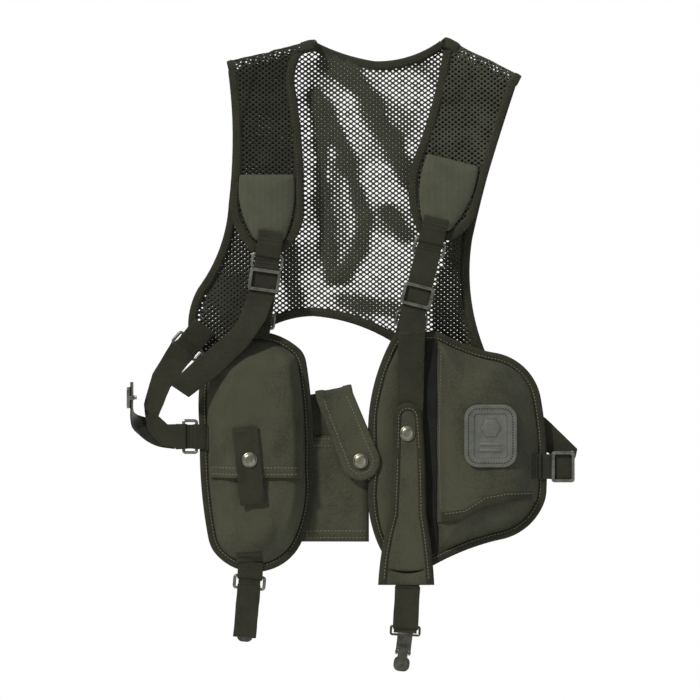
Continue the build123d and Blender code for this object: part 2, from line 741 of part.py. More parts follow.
MIDDLE_SNAP = (-19.7, -422.5)
MIDDLE_FLAP_REAR = 5.6     # the flap's tip has to pass in front of the bag's edge tape
MIDDLE_FLAP_THICK = 2.0
with BuildPart() as middle_flap:
    with BuildSketch(front_plane(MIDDLE_FLAP_REAR)):
        add(shrunk(middle_flap_outline(), BINDING))
    extrude(amount=MIDDLE_FLAP_THICK)
save(middle_flap, "middle_flap")
middle_tape = tape_in(middle_flap_outline(), -90, 20, -460, -330)
save(slab(middle_tape, MIDDLE_FLAP_REAR - 0.3, MIDDLE_FLAP_REAR + 2.6), "middle_flap_binding")
save(snap_cap(*MIDDLE_SNAP, MIDDLE_FLAP_REAR + 2.6 + TOUCH), "middle_snap_cap")
middle_stud = snap_stud(*MIDDLE_SNAP, MIDDLE_FRONT + TOUCH)

# ---- side bag ------------------------------------------------------------------------
save(slab(shrunk(bag_outline(), BINDING), 0, PANEL_THICK), "bag_rear_panel")
save(edge_ring(bag_outline(), -0.5, PANEL_THICK + 1, BINDING - TOUCH), "bag_binding")
bag_shell = hollow(shell_outline(), wall_start, BAG_DEPTH, SEAM)
with BuildPart() as open_shell:
    add(bag_shell.part)
    with BuildSketch(front_plane(-60)):
        with BuildLine():
            Polyline((50, -308), (110, -323), (165, -362), (165, -290), (50, -290), close=True)
        make_face()
    extrude(amount=120, mode=Mode.SUBTRACT)
hem_limits = ((40, -483), (56, -483), (84, -480), (104, -467), (126, -463), (158, -463))


def below_hem():
    with BuildSketch() as face:
        with BuildLine():
            Polyline(*hem_limits, (180, -463), (180, -540), (40, -540), close=True)
        make_face()
    return face.sketch


with BuildPart() as lower_pocket:
    add(open_shell.part)
    with BuildSketch(front_plane(0)):
        add(below_hem())
    extrude(amount=60, mode=Mode.INTERSECT)
save(lower_pocket, "bag_lower_pocket")
with BuildPart() as front_cover:
    add(open_shell.part)
    with BuildSketch(front_plane(0)):
        add(below_hem())
    extrude(amount=60, mode=Mode.SUBTRACT)
save(front_cover, "bag_front_cover")

EMBLEM = (109.0, -397.0)
EMBLEM_BASE = BAG_DEPTH + TOUCH
with BuildPart() as emblem_patch:
    with BuildSketch(front_plane(EMBLEM_BASE, *EMBLEM)):
        RectangleRounded(52, 62, 14)
    extrude(amount=EMBLEM_THICK)
    with BuildSketch(front_plane(EMBLEM_BASE + EMBLEM_THICK - 0.8, *EMBLEM)):
        RectangleRounded(33, 44, 4)
    extrude(amount=0.8, mode=Mode.SUBTRACT)
    chamfer(emblem_patch.faces().sort_by(Axis.Y)[0].outer_wire().edges(), 0.5)
    with BuildSketch(front_plane(EMBLEM_BASE + EMBLEM_THICK - 0.9, *EMBLEM)):
        with Locations((0, 8)):
            RegularPolygon(10, 6)
        with Locations((0, -8), (0, -14)):
            Rectangle(22, 3)
    extrude(amount=0.8)
save(emblem_patch, "emblem_patch")

BAG_SLIDER = (182.5, -428.5, -90.0)
bag_tab_front = PANEL_THICK + 1 + TOUCH
with BuildPart() as bag_tab:
    with BuildSketch(front_plane(bag_tab_front)):
        add(window(158.5, 192, -441, -416))
    extrude(amount=WEB_THICK)
save(bag_tab, "bag_side_tab")
save(slider(*BAG_SLIDER[:2], bag_tab_front, BAG_SLIDER[2], height=23.0), "bag_side_slider")
with BuildPart() as bag_strap:
    with BuildSketch(front_plane(-8.0)):
        with BuildLine():
            Polyline((150, -372), (166, -380), (198, -411), (196, -420))
            Polyline((196, -420), (186, -426), (150, -404), (150, -372))
        make_face()
    extrude(amount=WEB_THICK)
save(bag_strap, "bag_side_strap")

# ---- sheath over the right strap, and its snap tongue ----------------------------------
SHEATH_REAR = PANEL_THICK + 1 + TOUCH
SHEATH_FACE = 12.4
SHEATH_THICK = 1.8
TONGUE_LINE = -415.0
SHEATH_TIP = -546.0
sheath_walls = edge_ring(sheath_outline(), SHEATH_REAR, SHEATH_FACE, 2.5)
walls = cut_window(sheath_walls, (-20, 70, SHEATH_TIP + 3, TONGUE_LINE - GAP))
face = slab(sheath_outline(), SHEATH_FACE, SHEATH_FACE + SHEATH_THICK)
lower_face = cut_window(face, (-20, 70, SHEATH_TIP - 1, TONGUE_LINE - GAP))
slot_face = cut_out(lower_face, (10, 44, -534.5, -530))
save(joined(walls, slot_face), "sheath")
save(cut_window(face, (-20, 70, TONGUE_LINE + GAP, -360)), "sheath_tongue")
SHEATH_SNAP = (27.0, -395.0)
save(snap_cap(*SHEATH_SNAP, SHEATH_FACE + SHEATH_THICK + TOUCH), "sheath_snap_cap")
sheath_stud = snap_stud(*SHEATH_SNAP, 8.5 + WEB_THICK + TOUCH)
save(joined(pouch_stud, middle_stud, sheath_stud), "snap_studs")
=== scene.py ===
import json
import math

import bmesh
import bpy
import numpy as np
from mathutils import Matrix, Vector, noise
from mathutils.geometry import delaunay_2d_cdt


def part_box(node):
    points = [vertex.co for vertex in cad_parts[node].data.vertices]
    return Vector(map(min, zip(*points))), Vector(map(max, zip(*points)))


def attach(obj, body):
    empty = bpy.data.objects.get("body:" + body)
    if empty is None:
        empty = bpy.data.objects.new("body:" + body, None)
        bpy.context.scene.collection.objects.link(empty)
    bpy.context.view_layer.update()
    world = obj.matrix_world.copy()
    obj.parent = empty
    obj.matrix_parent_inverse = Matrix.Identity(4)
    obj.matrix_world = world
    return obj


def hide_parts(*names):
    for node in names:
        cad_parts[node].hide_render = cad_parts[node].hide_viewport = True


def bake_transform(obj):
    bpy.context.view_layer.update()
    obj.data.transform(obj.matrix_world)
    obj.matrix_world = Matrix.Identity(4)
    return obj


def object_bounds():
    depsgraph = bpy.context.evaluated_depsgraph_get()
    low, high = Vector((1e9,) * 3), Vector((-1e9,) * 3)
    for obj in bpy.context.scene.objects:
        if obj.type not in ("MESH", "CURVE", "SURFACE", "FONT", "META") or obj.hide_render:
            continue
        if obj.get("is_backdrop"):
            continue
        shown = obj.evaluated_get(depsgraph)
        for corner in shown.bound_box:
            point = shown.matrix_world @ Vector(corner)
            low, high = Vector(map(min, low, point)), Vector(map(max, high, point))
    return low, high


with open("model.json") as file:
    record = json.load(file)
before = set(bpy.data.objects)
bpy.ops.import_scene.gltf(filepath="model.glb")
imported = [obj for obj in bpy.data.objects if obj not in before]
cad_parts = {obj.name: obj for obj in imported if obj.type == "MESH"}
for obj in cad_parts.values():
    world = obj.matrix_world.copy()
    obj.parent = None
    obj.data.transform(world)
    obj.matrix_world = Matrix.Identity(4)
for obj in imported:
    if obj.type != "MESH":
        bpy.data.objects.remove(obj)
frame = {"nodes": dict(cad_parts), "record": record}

for spare in ("Cube", "Light", "Camera"):
    if spare in bpy.data.objects:
        bpy.data.objects.remove(bpy.data.objects[spare])
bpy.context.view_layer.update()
record = frame["record"]
JOINTS = {j["name"]: j for j in record["behaviour"]["joints"]}
BODY_OF = {n: b for b, names in record["behaviour"]["bodies"].items() for n in names}
SLOTS = {s["node"]: s["material_slot"] for s in record["subparts"]}
MM = 1000                # millimetres in a metre

scene = bpy.context.scene


def linked(name, data):
    made = bpy.data.objects.new(name, data)
    scene.collection.objects.link(made)
    return made


# ---- camera and light ----
scene.view_settings.view_transform = "Standard"
VIEW_CENTRE = (-0.030, -0.312)      # x and z that the camera looks at
VIEW_WIDTH = 0.700
camera_data = bpy.data.cameras.new("camera")
camera_data.lens = 150
camera = linked("camera", camera_data)
distance = VIEW_WIDTH * camera_data.lens / camera_data.sensor_width
camera.location = (VIEW_CENTRE[0], -distance, VIEW_CENTRE[1])
camera.rotation_euler = (math.pi / 2, 0, 0)
scene.camera = camera


def lamp(name, kind, energy, place, target, size=0.5, colour=(1, 1, 1)):
    data = bpy.data.lights.new(name, kind)
    data.energy, data.color = energy, colour
    if kind == "AREA":
        data.size = size
    if kind == "SUN":
        data.angle = size
    made = linked(name, data)
    made.location = place
    made.rotation_euler = (Vector(target) - Vector(place)).to_track_quat("-Z", "Y").to_euler()


lamp("key", "SUN", 3.4, (-1.3, -1.5, 1.35), (0, 0, -0.3), 0.09, (1.0, 0.965, 0.88))
lamp("fill", "AREA", 7, (1.6, -1.9, -0.3), (0, 0, -0.3), 1.3, (0.88, 0.94, 1.0))
lamp("top", "AREA", 5, (0.2, -0.5, 1.5), (0, 0, -0.2), 1.0, (0.88, 0.95, 1.0))
lamp("rear", "AREA", 42, (0.5, 2.1, 0.5), (0, 0, -0.3), 1.4)

def add_node(tree, kind, **values):
    made = tree.nodes.new("ShaderNode" + kind)
    for key, value in values.items():
        if key in made.inputs:
            made.inputs[key].default_value = value
        else:
            setattr(made, key, value)
    return made


# white behind the object, and a softer white that lights it
world = bpy.data.worlds.new("studio")
world.use_nodes = True
sky = world.node_tree
seen = sky.nodes["Background"]
seen.inputs["Color"].default_value = (1, 1, 1, 1)
seen.inputs["Strength"].default_value = 1.0
glow = add_node(sky, "Background", Color=(0.93, 0.96, 1.0, 1), Strength=0.34)
ray, choice = add_node(sky, "LightPath"), add_node(sky, "MixShader")
sky.links.new(ray.outputs["Is Camera Ray"], choice.inputs[0])
sky.links.new(glow.outputs[0], choice.inputs[1])
sky.links.new(seen.outputs[0], choice.inputs[2])
sky.links.new(choice.outputs[0], sky.nodes["World Output"].inputs["Surface"])
scene.world = world

FLOOR_RADIUS, FLOOR_LEVEL, FLOOR_SIDES = 4.2, -1.2, 96
floor_data = bpy.data.meshes.new("floor")
angles = [k * math.pi / (FLOOR_SIDES / 2) for k in range(FLOOR_SIDES)]
floor_data.from_pydata([(FLOOR_RADIUS * math.cos(a), FLOOR_RADIUS * math.sin(a), FLOOR_LEVEL)
    for a in angles], [], [tuple(range(FLOOR_SIDES))])
floor = linked("floor", floor_data)
floor_paint = bpy.data.materials.new("floor_paint")
floor_paint.use_nodes = True
paint = floor_paint.node_tree.nodes["Principled BSDF"].inputs
paint["Base Color"].default_value = (0.86, 0.86, 0.85, 1)
paint["Roughness"].default_value = 0.9
floor_data.materials.append(floor_paint)
floor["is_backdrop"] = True


# ---- materials ----
def material(name, low, high, rough, metallic=0.0, sheen=0.0, coat=0.0, weave=(),
        grain=((900, 0.5), (70, 0.5)), bump=0.0002, rough_spread=0.08):
    """Two shades mixed by noise at several scales, woven ribs as bump, and uneven roughness.
    weave holds (axis, period in metres, share) for each set of ribs."""
    made = bpy.data.materials.new(name)
    made.use_nodes = True
    tree = made.node_tree
    link = tree.links.new
    shader = tree.nodes["Principled BSDF"]
    for key, value in (("Metallic", metallic), ("Sheen Weight", sheen), ("Sheen Roughness", 0.4),
            ("Coat Weight", coat), ("Specular IOR Level", 0.5 if metallic or coat else 0.18)):
        shader.inputs[key].default_value = value
    place = add_node(tree, "TexCoord")
    total = None
    for scale, share in grain:
        spots = add_node(tree, "TexNoise", Scale=scale, Detail=3.0, Roughness=0.6)
        link(place.outputs["Object"], spots.inputs["Vector"])
        part = add_node(tree, "Math", operation="MULTIPLY")
        link(spots.outputs["Fac"], part.inputs[0])
        part.inputs[1].default_value = share
        if total:
            both = add_node(tree, "Math", operation="ADD")
            link(total.outputs[0], both.inputs[0])
            link(part.outputs[0], both.inputs[1])
        total = both if total else part
    height = total
    for axis, period, share in weave:
        ribs = add_node(tree, "TexWave", wave_type="BANDS", bands_direction=axis,
            Scale=0.314 / period, Distortion=0.6, Detail=1.0)
        ribs.inputs["Detail Scale"].default_value = 2.0
        link(place.outputs["Object"], ribs.inputs["Vector"])
        part = add_node(tree, "Math", operation="MULTIPLY_ADD")
        link(ribs.outputs["Fac"], part.inputs[0])
        part.inputs[1].default_value = share
        link(height.outputs[0], part.inputs[2])
        height = part
    ramp = add_node(tree, "ValToRGB")
    for stop, position, shade in zip(ramp.color_ramp.elements, (0.36, 0.64), (low, high)):
        stop.position, stop.color = position, (*shade, 1)
    reach = add_node(tree, "MapRange")
    reach.inputs["From Max"].default_value = 1.0 + 0.6 * sum(w[2] for w in weave)
    link(height.outputs[0], reach.inputs["Value"])
    link(reach.outputs["Result"], ramp.inputs["Fac"])
    link(ramp.outputs["Color"], shader.inputs["Base Color"])
    uneven = add_node(tree, "MapRange")
    uneven.inputs["To Min"].default_value = rough - rough_spread
    uneven.inputs["To Max"].default_value = rough + rough_spread
    link(total.outputs[0], uneven.inputs["Value"])
    link(uneven.outputs["Result"], shader.inputs["Roughness"])
    if bump:
        raised = add_node(tree, "Bump", Strength=1.0, Distance=bump)
        link(height.outputs[0], raised.inputs["Height"])
        link(raised.outputs["Normal"], shader.inputs["Normal"])
    return made


def twill(period, share=0.4):
    return (("DIAGONAL", period, share),)


YARN = dict(rough=0.78, sheen=0.06, weave=twill(0.0010), grain=((1500, 0.45), (60, 0.30),
    (18, 0.25)))
SEWING = dict(weave=twill(0.0006), grain=((2600, 0.5), (120, 0.5)), bump=0.0001)
ENAMEL = dict(coat=0.15, bump=0.00006, rough_spread=0.14)
NYLON = material("nylon_cloth", (0.0125, 0.0130, 0.0078), (0.045, 0.046, 0.030), 0.86, sheen=0.06,
    weave=(("X", 0.0008, 0.05),), grain=((700, 0.52), (45, 0.30), (11, 0.36)), bump=0.0003)
PAD = material("pad_cloth", (0.030, 0.032, 0.021), (0.068, 0.072, 0.050), 0.86, sheen=0.08,
    weave=(("X", 0.0012, 0.30),), grain=((1000, 0.45), (40, 0.30), (14, 0.25)), bump=0.0003)
TAPE = material("edge_tape", (0.0058, 0.0058, 0.0037), (0.0275, 0.0275, 0.0172), 0.84, sheen=0.06,
    weave=twill(0.0009, 0.35), grain=((1000, 0.45), (90, 0.30), (16, 0.25)), bump=0.0003)
WEBBING = material("webbing", (0.0055, 0.0058, 0.0035), (0.0250, 0.0254, 0.0156), 0.80, sheen=0.05,
    weave=(("X", 0.0010, 0.30), ("Z", 0.0012, 0.15)), grain=((620, 0.45), (80, 0.25), (20, 0.30)),
    bump=0.0004)
NET = material("net_yarn", (0.009, 0.0095, 0.006), (0.034, 0.036, 0.024), **YARN)
# lighter and darker copies of the net yarn: painted light for the right yoke, painted shade for the
# left yoke
NET_PAINTED_LIT = material("net_yarn_painted_light", (0.015, 0.0155, 0.011), (0.054, 0.056, 0.039), **YARN)
NET_PAINTED_SHADOW = material("net_yarn_painted_shadow", (0.006, 0.0065, 0.0045), (0.025, 0.0265, 0.018), **YARN)
THREAD = material("stitch_thread", (0.075, 0.070, 0.048), (0.17, 0.16, 0.115), 0.7, **SEWING)
DULL = material("dull_thread", (0.022, 0.021, 0.013), (0.058, 0.055, 0.038), 0.75, **SEWING)
STEEL = material("olive_metal", (0.050, 0.052, 0.040), (0.21, 0.215, 0.185), 0.34, metallic=0.75,
    grain=((700, 0.30), (160, 0.40), (60, 0.30)), **ENAMEL)
CLIP = material("dark_clip_metal", (0.020, 0.020, 0.015), (0.085, 0.085, 0.068), 0.36, metallic=0.6,
    grain=((700, 0.35), (160, 0.65)), **ENAMEL)
SNAP = material("snap_metal", (0.14, 0.135, 0.105), (0.27, 0.26, 0.205), 0.36, metallic=0.9,
    grain=((900, 0.4), (240, 0.6)), bump=0.00003, rough_spread=0.12)
RUBBER = material("badge_rubber", (0.040, 0.043, 0.036), (0.088, 0.094, 0.080), 0.55, coat=0.05,
    grain=((1500, 0.5), (120, 0.3), (30, 0.2)), bump=0.00010)
# very dark cloth for the groove beside the bag: painted shade
GAP_SHADOW = material("painted_gap_shadow", (0.003, 0.0036, 0.0032), (0.0125, 0.0140, 0.0115), 0.9,
    weave=(("X", 0.0011, 0.22),), grain=((700, 0.42), (45, 0.58)), bump=0.0003)
# near-black for the badge's holes and grooves: painted shade in these hollows
HOLLOW_SHADOW = material("painted_hollow_shadow", (0.004, 0.0045, 0.003), (0.010, 0.010, 0.007), 0.9,
    grain=((1400, 0.5), (60, 0.5)))


# ---- shapes: every length below is in millimetres, and "forward" is towards -Y ----
def mesh_piece(name, points, faces, finish, body="root", smooth=True):
    """A new piece from points given as (x, forward, z)."""
    points = np.asarray(points, float)
    placed = np.stack([points[:, 0], -points[:, 1], points[:, 2]], 1) / MM
    data = bpy.data.meshes.new(name)
    data.from_pydata(placed.tolist(), [], [list(map(int, f)) for f in faces])
    data.validate()
    data.materials.append(finish)
    made = linked(name, data)
    for face in data.polygons:
        face.use_smooth = smooth
    if body:
        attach(made, body)
    return made


def box_mm(node):
    return [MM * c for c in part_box(node)]


def middle_of(node):
    low, high = box_mm(node)
    return (low.x + high.x) / 2, -(low.y + high.y) / 2, (low.z + high.z) / 2


def front_of(node):
    return -box_mm(node)[0].y


def rear_of(node):
    return -box_mm(node)[1].y


def flat_at(level):
    return lambda p, *g: level + 0 * p[:, 0]


def outlines(node):
    """The closed (x, z) outlines of a CAD node's faces that look forward, longest first."""
    data = frame["nodes"][node].data
    where = {}
    index = []
    for v in data.vertices:
        key = tuple(round(c * 1e5) for c in v.co)
        index.append(where.setdefault(key, len(where)))
    spots = {i: (key[0] / 100, key[2] / 100) for key, i in where.items()}
    used = {}
    for face in data.polygons:
        if face.normal.y < -0.97:
            corners = [index[i] for i in face.vertices]
            for a, b in zip(corners, corners[1:] + corners[:1]):
                if a != b:
                    used.setdefault((min(a, b), max(a, b)), []).append((a, b))
    after = {}
    for ways in used.values():
        if len(ways) == 1:
            a, b = ways[0]
            after.setdefault(a, []).append(b)
    loops = []
    while after:
        start = next(iter(after))
        loop, here = [], start
        while here in after:
            following = after[here].pop()
            if not after[here]:
                del after[here]
            loop.append(spots[here])
            here = following
        if len(loop) > 2:
            loops.append(np.array(loop))
    return sorted(loops, key=lambda l: -length_of(l))


def length_of(loop):
    return float(np.linalg.norm(np.roll(loop, -1, 0) - loop, axis=1).sum())


def resampled(loop, step, closed=True):
    """Points evenly along a line, keeping its sharp corners."""
    run = np.vstack([loop, loop[:1]]) if closed else np.asarray(loop, float)
    made = []
    for a, b in zip(run[:-1], run[1:]):
        count = max(1, int(round(np.linalg.norm(b - a) / step)))
        made += [a + (b - a) * k / count for k in range(count)]
    kept = [made[0]]
    for p in made[1:]:
        if np.linalg.norm(p - kept[-1]) > step * 0.45:
            kept.append(p)
    if not closed:
        kept.append(run[-1])
    return np.array(kept)


def run_of(points, step=3):
    """Points evenly along an open line."""
    return resampled(np.array(points, float), step, closed=False)


def opened(loop):
    """A closed line that starts and ends at its longest gap."""
    cut = np.argmax(np.linalg.norm(np.roll(loop, -1, 0) - loop, axis=1))
    return np.roll(loop, -cut - 1, 0)


def nearest_first(line, spot):
    """A line, turned round if its other end is the nearer to spot."""
    far = np.linalg.norm(line[0] - spot) > np.linalg.norm(line[-1] - spot)
    return line[::-1] if far else line


def clipped(loop, spot, facing):
    """The part of a closed line on one side of a straight cut."""
    spot, facing = np.array(spot, float), np.array(facing, float)
    made = []
    for a, b in zip(loop, np.roll(loop, -1, 0)):
        da, db = (a - spot) @ facing, (b - spot) @ facing
        if da >= 0:
            made.append(a)
        if (da >= 0) != (db >= 0):
            made.append(a + (b - a) * da / (da - db))
    return np.array(made)


def ridge(values, middle, width):
    """1 at middle, falling off on both sides."""
    return np.exp(-((values - middle) / width) ** 2)


def gap_to(points, loops, closed=True):
    """Each point's distance to the nearest line."""
    best = np.full(len(points), 1e9)
    for loop in loops:
        a = loop if closed else loop[:-1]
        b = np.roll(loop, -1, 0) if closed else loop[1:]
        for p, q in zip(a, b):
            way = q - p
            t = np.clip(((points - p) @ way) / max(way @ way, 1e-9), 0, 1)
            best = np.minimum(best, np.linalg.norm(points - p - t[:, None] * way, axis=1))
    return best


def inside(points, loops):
    """True where a point is in an odd number of the closed lines."""
    odd = np.zeros(len(points), bool)
    x, z = points[:, 0], points[:, 1]
    for loop in loops:
        for (x0, z0), (x1, z1) in zip(loop, np.roll(loop, -1, 0)):
            if z0 != z1:
                crosses = (z0 > z) != (z1 > z)
                odd ^= crosses & (x < (x1 - x0) * (z - z0) / (z1 - z0) + x0)
    return odd


def filled(loops, step):
    """A fine, even triangle mesh of the region inside closed lines."""
    loops = [resampled(l, step) for l in loops]
    rim = np.vstack(loops)
    low, high = rim.min(0), rim.max(0)
    rows = np.arange(low[1], high[1], step * 0.866)
    grid = [(x + (k % 2) * step / 2, z) for k, z in enumerate(rows)
        for x in np.arange(low[0], high[0], step)]
    grid = np.array(grid)
    grid = grid[inside(grid, loops)]
    grid = grid[gap_to(grid, loops) > step * 0.55]
    edges, base = [], 0
    for l in loops:
        edges += [(base + i, base + (i + 1) % len(l)) for i in range(len(l))]
        base += len(l)
    every = np.vstack([rim, grid])
    flat, _, faces, _, _, _ = delaunay_2d_cdt([Vector(p) for p in every], edges, [], 0, 1e-4)
    flat = np.array([tuple(p) for p in flat])
    faces = np.array([f for f in faces if len(f) == 3])
    faces = faces[inside(flat[faces].mean(1), loops)]
    return flat, faces, loops


def softened(loop, reach=8.0):
    """A closed line with its slight kinks drawn out into curves."""
    line = resampled(loop, 1.0)
    size = int(reach)
    return sum(np.roll(line, k, 0) for k in range(-size, size + 1))[::2] / (2 * size + 1)


def wrinkle(points, seed, scale, height):
    """Soft uneven relief in millimetres; scale is the size of its bumps."""
    return np.array([noise.noise(Vector((x / scale, z / scale, seed))) for x, z in points]) * height


def sheets(flat, *levels):
    """Points of like sheets, one sheet after the other."""
    return np.vstack([np.stack([flat[:, 0], level, flat[:, 1]], 1) for level in levels])


def walls(sides, count):
    """Faces that join two like sheets, count points apart, at the edges that one face has."""
    sides = dict.fromkeys(sides)
    return [(b, a, a + count, b + count) for a, b in sides if (b, a) not in sides]


def shell(name, loops, front, rear, finish, body="root", step=3.0, place=None):
    """A closed soft form over a region; front and rear give forward from (points, gap)."""
    flat, faces, loops = filled(loops, step)
    gap = gap_to(flat, loops)
    count = len(flat)
    points = sheets(flat, front(flat, gap), rear(flat, gap))
    if place:
        points = place(points)
    turn = flat[faces]
    area = np.cross(turn[:, 1] - turn[:, 0], turn[:, 2] - turn[:, 0])
    faces = np.where(area[:, None] > 0, faces, faces[:, ::-1])
    made = [tuple(f) for f in faces] + [tuple(f[::-1] + count) for f in faces]
    made += walls([edge for a, b, c in faces for edge in ((a, b), (b, c), (c, a))], count)
    used = np.unique(np.concatenate([np.array(f) for f in made]))
    index = np.full(len(points), -1)
    index[used] = np.arange(len(used))
    return mesh_piece(name, points[used], [tuple(index[list(f)]) for f in made], finish, body)


def tube(first, rows, turns):
    """Faces round a closed tube whose points come in rows of turns, with both its ends."""
    last = first + (rows - 1) * turns
    made = [(row + k, row + (k + 1) % turns, row + (k + 1) % turns + turns, row + k + turns)
        for row in range(first, last, turns) for k in range(turns)]
    return made + [tuple(range(first + turns - 1, first - 1, -1)), tuple(range(last, last + turns))]


def stitches(name, lines, surface, finish=THREAD, body="root", pitch=3.4, length=2.2, radius=0.40,
        place=None, closed=False):
    """A dashed seam: short rounded threads that lie along lines, proud of surface(points)."""
    points, faces = [], []
    for line in lines:
        run = np.vstack([line, line[:1]]) if closed else np.asarray(line, float)
        lengths = np.linalg.norm(np.diff(run, axis=0), axis=1)
        along = np.concatenate([[0], np.cumsum(lengths)])
        count = max(1, int(along[-1] / pitch))
        for k in range(count):
            middle = (k + 0.5) * along[-1] / count
            spots = np.clip(middle + length * np.array([-0.5, -0.25, 0.25, 0.5]), 0, along[-1])
            ends = np.stack([np.interp(spots, along, values) for values in run.T], 1)
            way = ends[-1] - ends[0]
            size = np.linalg.norm(way)
            if size < length * 0.5:
                continue
            side = np.array([-way[1], way[0]]) / size
            base = len(points)
            for p, f, wide in zip(ends, surface(ends), (0.35, 1.0, 1.0, 0.35)):
                wide *= radius
                for turn in range(6):
                    angle = turn * math.pi / 3
                    off = side * math.cos(angle) * wide
                    points.append((p[0] + off[0], f - 0.05 + wide * (0.4 + math.sin(angle)),
                        p[1] + off[1]))
            faces += tube(base, 4, 6)
    if points:
        points = np.array(points)
        mesh_piece(name, place(points) if place else points, faces, finish, body)


def sideways(line):
    """The direction square to a closed line at each of its points."""
    way = np.roll(line, -1, 0) - np.roll(line, 1, 0)
    way = way / np.maximum(np.linalg.norm(way, axis=1), 1e-6)[:, None]
    return np.stack([-way[:, 1], way[:, 0]], 1)


def inset(loop, amount, step=3.0):
    """A closed line moved inwards by amount; places too tight to turn are dropped."""
    line = resampled(loop, step)
    x, z = line[:, 0], line[:, 1]
    area = (x * np.roll(z, -1) - np.roll(x, -1) * z).sum()
    moved = line + sideways(line) * ((1 if area > 0 else -1) * amount)
    return moved[gap_to(moved, [line]) > abs(amount) * 0.93]


WAVES = ((90, (0, 0, 0)), (70, (3, 1, 2)), (90, (7, 7, 7)))      # noise scale and start, by axis


def copy_node(node, finish, body, bevel=0.0, name=None, wave=0.0, fine=0.0):
    """A CAD node's shape as a soft-edged new piece; fine cuts it up so that wave can bend it."""
    data = frame["nodes"][node].data.copy()
    made = linked(name or node + "_look", data)
    data.materials.clear()
    data.materials.append(finish)
    weld = made.modifiers.new("weld", "WELD")
    weld.merge_threshold = 0.00002
    if bevel:
        round_off = made.modifiers.new("bevel", "BEVEL")
        round_off.width = bevel / MM
        round_off.segments = 2
        round_off.limit_method = "ANGLE"
        round_off.angle_limit = math.radians(35)
    bpy.context.view_layer.update()
    done = bpy.data.meshes.new_from_object(
        made.evaluated_get(bpy.context.evaluated_depsgraph_get()))
    made.modifiers.clear()
    made.data = done
    if fine:
        cut_fine(done, fine / MM)
    if wave:
        for v in done.vertices:
            shift = [noise.noise(v.co * scale + Vector(start)) for scale, start in WAVES]
            v.co += Vector(shift) * wave / MM
    for face in done.polygons:
        face.use_smooth = True
    done.set_sharp_from_angle(angle=math.radians(40))
    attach(made, body)
    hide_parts(node)
    return made


def cut_fine(data, longest):
    """Splits long edges so that a flat piece can bend."""
    work = bmesh.new()
    work.from_mesh(data)
    bmesh.ops.triangulate(work, faces=work.faces)
    for _ in range(6):
        long = [e for e in work.edges if e.calc_length() > longest]
        if not long:
            break
        bmesh.ops.subdivide_edges(work, edges=long, cuts=1)
        bmesh.ops.triangulate(work, faces=[f for f in work.faces if len(f.verts) > 3])
    work.to_mesh(data)
    work.free()


LAST_FRAME = 20          # of each simulation


def inflate(made, edge, sewn, pressure, cap):
    """Swells a padded piece by cloth simulation, by no more than cap; a rim sewn wide stays put."""
    data = made.data
    rest = np.array([v.co[:] for v in data.vertices])
    pinned = gap_to(MM * rest[:, [0, 2]], [edge]) < sewn
    held = made.vertex_groups.new(name="sewn")
    held.add([int(i) for i in np.nonzero(pinned)[0]], 1.0, "REPLACE")
    cloth = made.modifiers.new("cloth", "CLOTH")
    for key, value in dict(vertex_group_mass="sewn", use_pressure=True, quality=6,
            uniform_pressure_force=pressure, tension_stiffness=20, compression_stiffness=20,
            bending_stiffness=0.3).items():
        setattr(cloth.settings, key, value)
    cloth.settings.effector_weights.gravity = 0
    cloth.point_cache.frame_start, cloth.point_cache.frame_end = 1, LAST_FRAME
    for frame_number in range(1, LAST_FRAME + 1):
        scene.frame_set(frame_number)
    shaped = made.evaluated_get(bpy.context.evaluated_depsgraph_get()).to_mesh()
    move = np.array([v.co[:] for v in shaped.vertices]) - rest
    made.modifiers.clear()
    made.vertex_groups.clear()
    scene.frame_set(1)
    size = np.linalg.norm(move, axis=1)[:, None]
    move = move * np.minimum(1, cap / MM / np.maximum(size, 1e-9))
    data.vertices.foreach_set("co", (rest + move).ravel())
    data.update()


def ribbon(name, rows, thick=1.4, across=7, fine=6):
    """Webbing between two edges given row by row, each row a pair of x, forward and z."""
    rows = np.array(rows, float)
    spots = np.linspace(0, len(rows) - 1, fine * (len(rows) - 1) + 1)
    index = np.minimum(spots.astype(int), len(rows) - 2)
    t = (spots - index)[:, None, None]
    a, b = rows[np.maximum(index - 1, 0)], rows[index]
    c, d = rows[index + 1], rows[np.minimum(index + 2, len(rows) - 1)]
    edges = 0.5 * (2 * b + (c - a) * t + (2 * a - 5 * b + 4 * c - d) * t ** 2
        + (3 * b - a - 3 * c + d) * t ** 3)
    share = np.linspace(0, 1, across)[None, :, None]
    grid = edges[:, :1] * (1 - share) + edges[:, 1:] * share
    normal = np.cross(np.gradient(grid, axis=0), np.gradient(grid, axis=1))
    normal /= np.maximum(np.linalg.norm(normal, axis=2), 1e-9)[..., None]
    points = np.vstack([(grid + normal * half).reshape(-1, 3) for half in (thick / 2, -thick / 2)])
    long, count = len(grid), len(grid) * across
    faces, sides = [], []
    for p in (k * across + m for k in range(long - 1) for m in range(across - 1)):
        quad = (p, p + across, p + across + 1, p + 1)
        faces += [quad, tuple(q + count for q in quad[::-1])]
        sides += zip(quad, quad[1:] + quad[:1])
    return mesh_piece(name, points, faces + [w[::-1] for w in walls(sides, count)], WEBBING)


PITCH_X, PITCH_Z, YARN_THICK, CREST = 6.5, 4.8, 0.9, 0.32      # of the net's cells, in mm
CELL = np.array([(2.511, 0), (0.738, 2.4), (-0.738, 2.4), (-2.511, 0), (-0.738, -2.4),
    (0.738, -2.4)])
HOLE = np.array([(1.78, 0), (0.72, 1.22), (-0.72, 1.22), (-1.78, 0), (-0.72, -1.22), (0.72, -1.22)])


